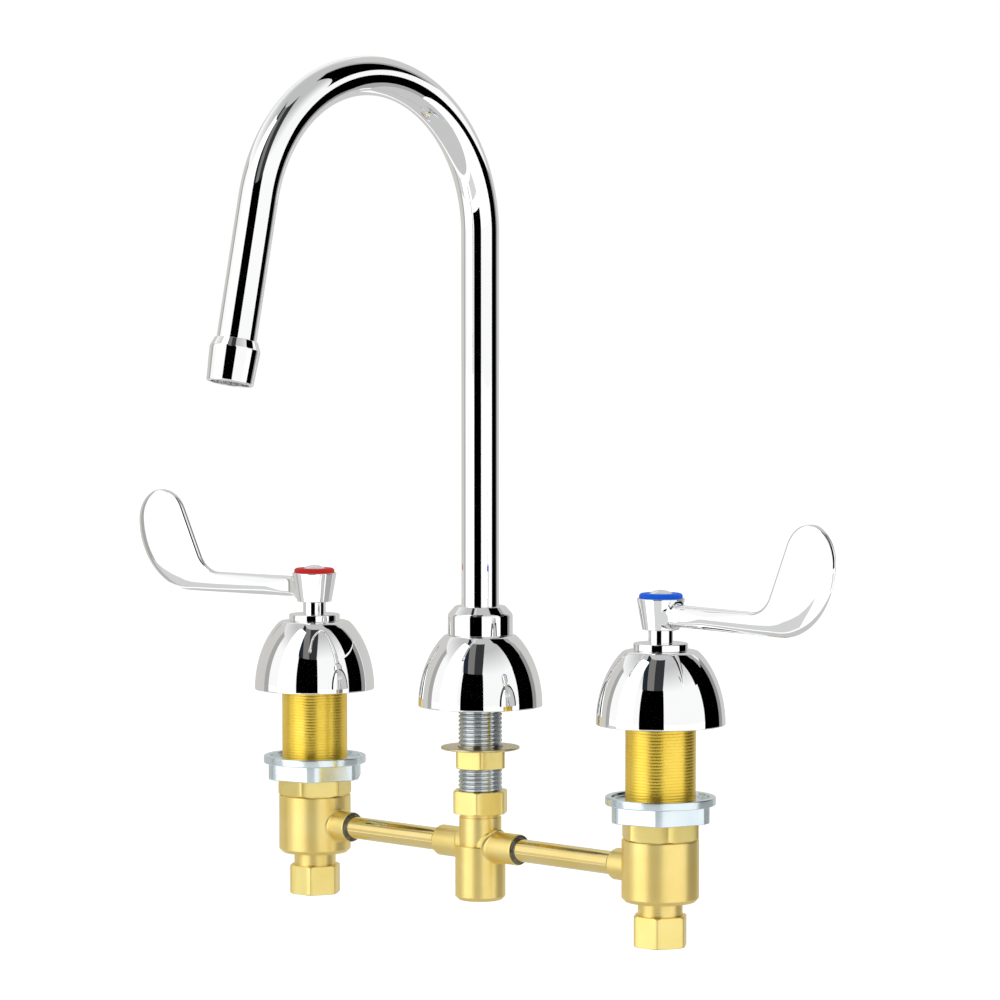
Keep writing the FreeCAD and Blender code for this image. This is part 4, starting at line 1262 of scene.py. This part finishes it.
@dataclass
class WristBlade:
    """Wrist-blade handle: tapered hub, arm that flares into it, upswept blade, index ring and button."""

    side: Side
    rest_turn: float = 7.5
    hub_foot: float = 38.3
    hub_foot_radius: float = 7.5
    hub_top: float = 51.1
    hub_top_radius: float = 9.8
    hub_round: float = 0.6
    recess_radius: float = 8.82
    recess_floor: float = 50.1
    arm_bottom: float = 40.0
    arm_height: float = 9.0
    reach: float = 102.0
    blade_top: float = 84.9
    tip_radius: float = 14.0
    slope: float = 65.0
    crotch: float = 12.0
    thickness: float = 3.3
    arm_thickness: float = 5.2
    arm_end_reach: float = 17.0  # where the arm starts to thin towards the blade
    blade_reach: float = 62.0    # where it has thinned to the blade
    root_end: float = 17.0       # how far the arm's widening reaches from the hub's axis
    root_fade: float = 12.0      # how far beyond it the arm's edges grow rounder
    side_fillet: float = 12.0    # radius between the arm's faces and the hub
    top_fillet: float = 1.8
    bottom_fillet: float = 1.3
    arm_round: float = 4.3
    root_round: float = 2.6
    heel_round: float = 11.0
    outer_round: float = 4.6
    inner_round: float = 1.8
    tip_angle: float = 80.0      # direction of the blade's tip from the tip circle's centre
    ring_radius: float = 8.8
    ring_bore: float = 4.7
    ring_top: float = 53.0
    ring_bevel: float = 0.7
    button_radius: float = 4.68
    button_crown: float = 1.4
    arm_sink: float = 4.0        # how far the arm starts inside the hub's foot
    heel_run: float = 12.0       # length before the heel's bend over which the arm's steps grow short
    heel_middle: float = -52.0   # direction in the heel's bend that faces the middle of the crotch
    thin_from: float = 2.2       # the blade thins out where it is narrower than this many edge roundings

    ROOT_STEPS, ARM_STEPS, RUN_STEPS, HEEL_STEPS, BLADE_STEPS, TIP_STEPS = 48, 24, 4, 12, 18, 24
    CROWN_STEPS = 14             # steps over the button's crown

    def place(self) -> Matrix:
        """Frame on the valve's axis.

        Returns:
            The frame, with +X along the closed handle.
        """
        axis = NodeBox.of(self.side.value + "_sleeve").axis
        turn = 180 + self.rest_turn if self.side is Side.HOT else -self.rest_turn
        return Matrix.Translation(axis) @ Matrix.Rotation(math.radians(turn), 4, "Z")

    @staticmethod
    def arc(centre: Vector, radius: float, start: float, end: float, count: int) -> list[Vector]:
        """Points on an arc.

        Args:
            centre: its centre.
            radius: its radius.
            start, end: its end directions, in degrees.
            count: how many steps it has.

        Returns:
            count + 1 points, in the plane of X and Z.
        """
        turns = [math.radians(start + (end - start) * i / count) for i in range(count + 1)]
        return [centre + radius * Vector((math.cos(t), math.sin(t))) for t in turns]

    @staticmethod
    def line(start: Vector, end: Vector, count: int) -> list[Vector]:
        """Points on a straight line, count + 1 of them."""
        return [start.lerp(end, i / count) for i in range(count + 1)]

    def edges(self) -> list[tuple[Vector, Vector]]:
        """Matching points on the lower and upper edge of arm and blade.

        Returns:
            The pairs, from the hub to the tip, in the plane of X and Z.
        """
        tip = Vector((self.reach - self.tip_radius, self.blade_top - self.tip_radius))
        heel_radius = tip.y - self.arm_bottom
        heel = Vector((self.reach - heel_radius, tip.y))
        slope = math.radians(self.slope)
        along = Vector((math.cos(slope), math.sin(slope)))
        away = Vector((-math.sin(slope), math.cos(slope)))
        inner_top = tip + away * self.tip_radius
        arm_top = self.arm_bottom + self.arm_height
        elbow = inner_top - along * ((inner_top.y - arm_top) / along.y)
        tangent = self.crotch * math.tan(slope / 2)
        arm_end, rise = elbow - Vector((tangent, 0)), elbow + along * tangent
        centre = arm_end + Vector((0, self.crotch))
        start = self.hub_foot_radius - self.arm_sink
        run, bend = Vector((heel.x - self.heel_run, self.arm_bottom)), Vector((heel.x, self.arm_bottom))
        low_root, high_root = Vector((self.root_end, self.arm_bottom)), Vector((self.root_end, arm_top))
        lows = [*self.line(Vector((start, self.arm_bottom)), low_root, self.ROOT_STEPS),
                *self.line(low_root, run, self.ARM_STEPS)[1:],
                *self.line(run, bend, self.RUN_STEPS)[1:],
                *self.arc(heel, heel_radius, -90, self.heel_middle, self.HEEL_STEPS)[1:],
                *self.arc(heel, heel_radius, self.heel_middle, 0, self.BLADE_STEPS)[1:],
                *self.arc(tip, self.tip_radius, 0, self.tip_angle, self.TIP_STEPS)[1:]]
        highs = [*self.line(Vector((start, arm_top)), high_root, self.ROOT_STEPS),
                 *self.line(high_root, arm_end, self.ARM_STEPS)[1:],
                 *self.arc(centre, self.crotch, -90, self.slope - 90, self.RUN_STEPS + self.HEEL_STEPS)[1:],
                 *self.line(rise, inner_top, self.BLADE_STEPS)[1:],
                 *self.arc(tip, self.tip_radius, self.slope + 90, self.tip_angle, self.TIP_STEPS)[1:]]
        return list(zip(lows, highs))

    def hub_radius(self, height: float) -> float:
        """Radius of the hub at a height."""
        share = (height - self.hub_foot) / (self.hub_top - self.hub_foot)
        return self.hub_foot_radius + (self.hub_top_radius - self.hub_foot_radius) * share

    @staticmethod
    def hollow(radius: float, meets: float, place: float, least: float) -> float:
        """How far a rounding stands out from a flat face.

        Args:
            radius: the rounding's radius.
            meets: where along the arm it leaves the flat face.
            place: the place along the arm.
            least: where it meets the hub, beyond which it stays as it is.

        Returns:
            The distance from the flat face.
        """
        run = min(max(0.0, meets - max(place, least)), radius)
        return radius - math.sqrt(radius ** 2 - run ** 2)

    def sections(self) -> list[Section]:
        """Cross-sections of the arm and the blade.

        Returns:
            The sections, from the hub to the tip.
        """
        made = []
        half = self.arm_thickness / 2
        hub = self.hub_radius(self.arm_bottom + self.arm_height / 2)
        side_meets = math.sqrt((hub + self.side_fillet) ** 2 - (half + self.side_fillet) ** 2)
        side_least = side_meets * hub / (hub + self.side_fillet)
        hub_taper = (self.hub_top_radius - self.hub_foot_radius) / (self.hub_top - self.hub_foot) / hub
        top_least = self.hub_radius(self.arm_bottom + self.arm_height)
        bottom_least = self.hub_radius(self.arm_bottom)
        for low, high in self.edges():
            place = (low.x + high.x) / 2
            share = within_one((place - self.arm_end_reach) / (self.blade_reach - self.arm_end_reach))
            ease = share * share * (3 - 2 * share)
            thickness = self.arm_thickness + (self.thickness - self.arm_thickness) * ease
            thickness += 2 * self.hollow(self.side_fillet, side_meets, place, side_least)
            if place > self.recess_radius:
                rise = self.hollow(self.top_fillet, top_least + self.top_fillet, place, top_least)
                high = high + Vector((0, rise))
            drop = self.hollow(self.bottom_fillet, bottom_least + self.bottom_fillet, place, bottom_least)
            low = low - Vector((0, drop))
            end = min(1.0, (high - low).length / (2 * self.inner_round * self.thin_from))
            thickness *= math.sqrt(max(0.0, 1 - (1 - end) ** 2))
            climb = max(0.0, low.y - self.arm_bottom) / (self.blade_top - self.arm_bottom)
            root = within_one((self.root_end + self.root_fade - place) / self.root_fade)
            arm_round = self.arm_round + (self.root_round - self.arm_round) * root
            low_round = arm_round + (self.heel_round - arm_round) * ease
            low_round += (self.outer_round - self.heel_round) * climb
            high_round = arm_round + (self.inner_round - arm_round) * ease
            taper = hub_taper * within_one((side_meets - place) / (side_meets - side_least))
            made.append(Section(low, high, thickness, low_round, high_round, taper))
        return made

    def handle(self) -> None:
        """Makes the hub, the arm and the blade."""
        place = self.place()
        shell = Shell(self.side.value + "_wrist_blade")
        rings = [section.ring() for section in self.sections()]
        rings[-1] = [sum(rings[-1], Vector()) / len(rings[-1])]
        shell.rings([[place @ point for point in ring] for ring in rings])
        hub = [(0.0, self.hub_foot, 0.0), (self.hub_foot_radius, self.hub_foot, 0.4),
               (self.hub_top_radius, self.hub_top, self.hub_round), (self.recess_radius, self.hub_top, 0.15),
               (self.recess_radius, self.recess_floor, 0.0), (0.0, self.recess_floor, 0.0)]
        shell.turned(rounded(hub, looped=False), even_angles(ROUND_SEGMENTS), place, looped=False)
        shell.object(CHROME, self.side.body, self.side.value + "_handle")

    def index_ring(self) -> None:
        """Makes the coloured ring in the hub's top."""
        finish, slot = (RED, "red_index") if self.side is Side.HOT else (BLUE, "blue_index")
        bevel = self.ring_bevel
        corners = [(self.ring_bore, self.recess_floor, 0.0), (self.ring_radius, self.recess_floor, 0.0),
                   (self.ring_radius, self.ring_top - bevel, 0.35),
                   (self.ring_radius - bevel, self.ring_top, 0.35), (self.ring_bore, self.ring_top, 0.1)]
        shell = Shell.ring_of(self.side.value + "_index_band", corners, SMALL_SEGMENTS, self.place())
        shell.object(finish, self.side.body, self.side.value + "_index_ring", slot)

    def button(self) -> None:
        """Makes the raised chrome button inside the ring."""
        shell = Shell(self.side.value + "_index_button")
        size = (self.button_radius ** 2 + self.button_crown ** 2) / (2 * self.button_crown)
        top, edge = self.ring_top + self.button_crown, math.asin(self.button_radius / size)
        turns = [edge * i / self.CROWN_STEPS for i in range(self.CROWN_STEPS + 1)]
        crown = [(size * math.sin(turn), top - size * (1 - math.cos(turn))) for turn in turns]
        stops: list[Stop] = [*crown, (self.button_radius, self.recess_floor), (0.0, self.recess_floor)]
        shell.turned(stops, even_angles(SMALL_SEGMENTS), self.place(), looped=False)
        shell.object(CHROME, self.side.body, self.side.value + "_index_cap")

    def build(self) -> None:
        """Makes the pieces that turn with the handle."""
        self.handle()
        self.index_ring()
        self.button()


class CarriedNodes:
    """The nodes of the frame that keep their own shape and only get a finish."""

    def dress(self) -> None:
        """Gives each node that still shows its finish."""
        for name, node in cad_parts.items():
            if node.hide_render:
                continue
            short = name.removeprefix("hot_").removeprefix("cold_")
            finish = NODE_FINISHES[short]
            node.data.materials.clear()
            node.data.materials.append(finish.material())
            log.info("%s: keeps its shape, finish %s", name, finish.name)


@dataclass(frozen=True)
class PhotoCamera:
    """The photograph's view, as fitted to the outlines of the faucet."""

    azimuth: float = 44.0        # degrees that the camera has gone round from the front
    pitch: float = 3.139         # degrees that it looks down
    distance: float = 1666.0
    focal: float = 3.955         # focal length over the frame's width
    shift_right: float = 8.3     # mm from the frame's origin to the view's middle
    shift_up: float = 86.598
    sensor: float = 36.0
    near: float = 0.05           # m
    far: float = 50.0            # m

    def axes(self) -> tuple[Vector, Vector, Vector]:
        """The camera's directions.

        Returns:
            Right, up and forward.
        """
        a, p = math.radians(self.azimuth), math.radians(self.pitch)
        right = Vector((math.cos(a), math.sin(a), 0))
        up = Vector((-math.sin(a) * math.sin(p), math.cos(a) * math.sin(p), math.cos(p)))
        forward = Vector((-math.sin(a) * math.cos(p), math.cos(a) * math.cos(p), -math.sin(p)))
        return right, up, forward

    def build(self) -> None:
        """Makes the camera and gives it to the scene."""
        right, up, forward = self.axes()
        data = bpy.data.cameras.new("photo_camera")
        data.sensor_width = self.sensor
        data.lens = self.focal * self.sensor
        data.clip_start, data.clip_end = self.near, self.far
        camera = bpy.data.objects.new("photo_camera", data)
        turn = Matrix((right, up, -forward)).transposed().to_4x4()
        eye = (right * self.shift_right + up * self.shift_up - forward * self.distance) * MM
        camera.matrix_world = Matrix.Translation(eye) @ turn
        bpy.context.scene.collection.objects.link(camera)
        bpy.context.scene.camera = camera


FAN_MIDDLE = -8.0            # degrees; the fanned cards open out on both sides of this


@dataclass(frozen=True)
class Card:
    """An upright card round the object, seen only in reflections."""

    name: str
    start: float             # degrees to the right of the camera, as seen from the object
    end: float
    colour: Colour
    low: float | None = None  # heights of its edges, mm; None is the floor
    high: float = 520.0
    fan: float = 1.0         # how many times wider its top edge is than its foot
    distance: float = 700.0


def grey(level: float) -> Colour:
    """A grey of that level, where 1 is white."""
    return level, level, level


@dataclass(frozen=True)
class Studio:
    """Pale floor, soft light and the cards that draw the dark lines on the chrome."""

    camera: PhotoCamera
    floor_size: float = 30.0     # m
    floor_drop: float = 180.0    # mm that the part, which a deck holds, hangs above the floor
    floor_albedo: float = 0.86
    floor_lift: float = 0.45
    zenith: float = 0.55
    white_up_to: float = 0.5     # sine of the height from which the sky turns grey
    grey_from: float = 0.86      # and of the height where it has the zenith's grey
    patch_radius: float = 560.0  # painted shade: grey patch under the part, standing in for the floor shaded by it, seen only in reflections
    patch_shade_grey: float = 0.58
    patch_lift: float = 1.0      # how far it lies above the floor
    cards: tuple[Card, ...] = (
        Card("left_back", -180.0, -113.0, (0.62, 0.61, 0.585)),
        Card("left_line", -113.0, -101.0, (0.4, 0.395, 0.38)),
        Card("left_low", -106.0, -80.0, grey(0.68), high=-60.0),
        Card("left_glow", -79.0, -31.0, grey(1.45), high=-75.0),
        Card("left_light", -79.0, -44.0, grey(1.45), low=-75.0, high=1500.0),
        Card("front_low", -31.0, 7.0, grey(0.7), high=-75.0),
        Card("front_flag", -37.0, 6.0, grey(0.0), low=-165.0, high=904.0, distance=1500.0),
        Card("window_dusk", -38.0, -27.0, (0.016, 0.024, 0.036), 904.0, 5100.0, 2.9, 1500.0),
        Card("upper_grey", -27.0, -13.0, (0.2, 0.195, 0.185), 904.0, 5100.0, 2.9, 1500.0),
        Card("upper_dark", -13.0, 5.0, (0.035, 0.037, 0.04), 904.0, 5100.0, 2.9, 1500.0),
        Card("side_low", 75.0, 126.0, grey(0.4), high=-62.0, distance=550.0),
        Card("side_flag", 75.0, 113.0, grey(0.0), -62.0, 300.0, distance=550.0),
        Card("side_border", 113.0, 126.0, grey(0.3), -62.0, 300.0, distance=550.0),
        Card("side_upper", 77.0, 116.0, grey(0.0), 2050.0, 15000.0, distance=4000.0),
        Card("border_upper", 116.0, 128.0, grey(0.4), 2050.0, 15000.0, distance=4000.0),
        Card("right_back", 126.0, 180.0, (0.62, 0.615, 0.6), high=1400.0),
    )

    def card(self, card: Card, floor: float) -> None:
        """Makes one card.

        Args:
            card: its sizes.
            floor: height of the floor, mm.
        """
        low = floor if card.low is None else card.low
        right, _, forward = self.camera.axes()
        towards = Vector((-forward.x, -forward.y, 0)).normalized()
        work = bmesh.new()
        edge = []
        steps = max(2, round(card.end - card.start))
        for i in range(steps + 1):
            turn = card.start + (card.end - card.start) * i / steps
            pair = []
            for height, angle in ((low, turn), (card.high, FAN_MIDDLE + (turn - FAN_MIDDLE) * card.fan)):
                at = math.radians(angle)
                out = (towards * math.cos(at) + right * math.sin(at)) * card.distance * MM
                pair.append(work.verts.new((out.x, out.y, height * MM)))
            edge.append(pair)
        for one, other in zip(edge, edge[1:]):
            work.faces.new((one[0], other[0], other[1], one[1]))
        self.glowing(card.name, work, card.colour)

    @staticmethod
    def glowing(name: str, work: bmesh.types.BMesh, colour: Colour) -> None:
        """Makes an evenly glowing sheet that only reflections see.

        Args:
            name: its name.
            work: its mesh, which is used up.
            colour: its colour, where 1 is white.
        """
        mesh = bpy.data.meshes.new(name)
        work.to_mesh(mesh)
        work.free()
        paint = bpy.data.materials.new(name)
        paint.use_nodes = True
        nodes = paint.node_tree.nodes
        nodes.clear()
        glow = nodes.new("ShaderNodeEmission")
        glow.inputs["Color"].default_value = (*colour, 1.0)
        output = nodes.new("ShaderNodeOutputMaterial")
        paint.node_tree.links.new(glow.outputs["Emission"], output.inputs["Surface"])
        mesh.materials.append(paint)
        made = bpy.data.objects.new(name, mesh)
        bpy.context.scene.collection.objects.link(made)
        made.visible_camera = False
        made.visible_diffuse = False
        made.visible_shadow = False
        made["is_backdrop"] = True

    def patch(self, floor: float) -> None:
        """Makes the grey patch on the floor under the part: painted shade, seen only in reflections, that
        stands in for the floor shaded by the part.

        Args:
            floor: height of the floor, mm.
        """
        work = bmesh.new()
        bmesh.ops.create_circle(work, cap_ends=True, segments=SMALL_SEGMENTS, radius=self.patch_radius * MM,
                                matrix=Matrix.Translation((0, 0, (floor + self.patch_lift) * MM)))
        # painted shade: a grey glowing disc in place of the shaded floor under the part
        self.glowing("floor_shade_patch", work, grey(self.patch_shade_grey))

    def floor(self, height: float) -> None:
        """Makes the floor.

        Args:
            height: its height, mm.
        """
        half = self.floor_size / 2
        mesh = bpy.data.meshes.new("studio_floor")
        corners = [(-half, -half, 0), (half, -half, 0), (half, half, 0), (-half, half, 0)]
        mesh.from_pydata(corners, [], [(0, 1, 2, 3)])
        paint = bpy.data.materials.new("studio_floor")
        paint.use_nodes = True
        nodes, links = paint.node_tree.nodes, paint.node_tree.links
        shader = nodes["Principled BSDF"]
        shader.inputs["Base Color"].default_value = (self.floor_albedo,) * 3 + (1.0,)
        shader.inputs["Roughness"].default_value = 1.0
        shader.inputs["Specular IOR Level"].default_value = 0.0
        shader.inputs["Emission Color"].default_value = (1.0, 1.0, 1.0, 1.0)
        path = nodes.new("ShaderNodeLightPath")
        seen = path.outputs["Is Camera Ray"]
        for ray in ("Is Glossy Ray", "Is Transmission Ray"):
            either = nodes.new("ShaderNodeMath")
            either.operation = "MAXIMUM"
            links.new(seen, either.inputs[0])
            links.new(path.outputs[ray], either.inputs[1])
            seen = either.outputs["Value"]
        lift = nodes.new("ShaderNodeMath")
        lift.operation = "MULTIPLY"
        lift.inputs[1].default_value = self.floor_lift
        links.new(seen, lift.inputs[0])
        links.new(lift.outputs["Value"], shader.inputs["Emission Strength"])
        paint.cycles.emission_sampling = "NONE"
        mesh.materials.append(paint)
        made = bpy.data.objects.new("studio_floor", mesh)
        made.location.z = height * MM
        bpy.context.scene.collection.objects.link(made)
        made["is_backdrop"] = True

    def world(self) -> None:
        """Lights the scene with a sky that is white at the horizon and softer overhead."""
        world = bpy.data.worlds.new("studio_sky")
        bpy.context.scene.world = world
        world.use_nodes = True
        nodes, links = world.node_tree.nodes, world.node_tree.links
        place = nodes.new("ShaderNodeTexCoord")
        parts = nodes.new("ShaderNodeSeparateXYZ")
        links.new(place.outputs["Generated"], parts.inputs["Vector"])
        level = nodes.new("ShaderNodeMapRange")
        for socket, value in (("From Min", self.white_up_to), ("From Max", self.grey_from),
                              ("To Min", 1.0), ("To Max", self.zenith)):
            level.inputs[socket].default_value = value
        links.new(parts.outputs["Z"], level.inputs["Value"])
        links.new(level.outputs["Result"], nodes["Background"].inputs["Color"])
        nodes["Background"].inputs["Strength"].default_value = 1.0

    def build(self) -> None:
        """Makes floor, cards and sky."""
        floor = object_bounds()[0].z / MM - self.floor_drop
        self.floor(floor)
        self.patch(floor)
        for card in self.cards:
            self.card(card, floor)
        self.world()


def main() -> None:
    """Builds the dressed faucet and its studio."""
    logging.basicConfig(level=logging.INFO, format="%(message)s")
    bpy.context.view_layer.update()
    camera = PhotoCamera()
    camera.build()
    Gooseneck().build()
    SpoutShank().build()
    Tee().build()
    for side in Side:
        Valve(side).build()
        WristBlade(side).build()
    CarriedNodes().dress()
    Studio(camera).build()
    bpy.context.scene.view_settings.view_transform = "Standard"


if __name__ == "__main__":
    main()
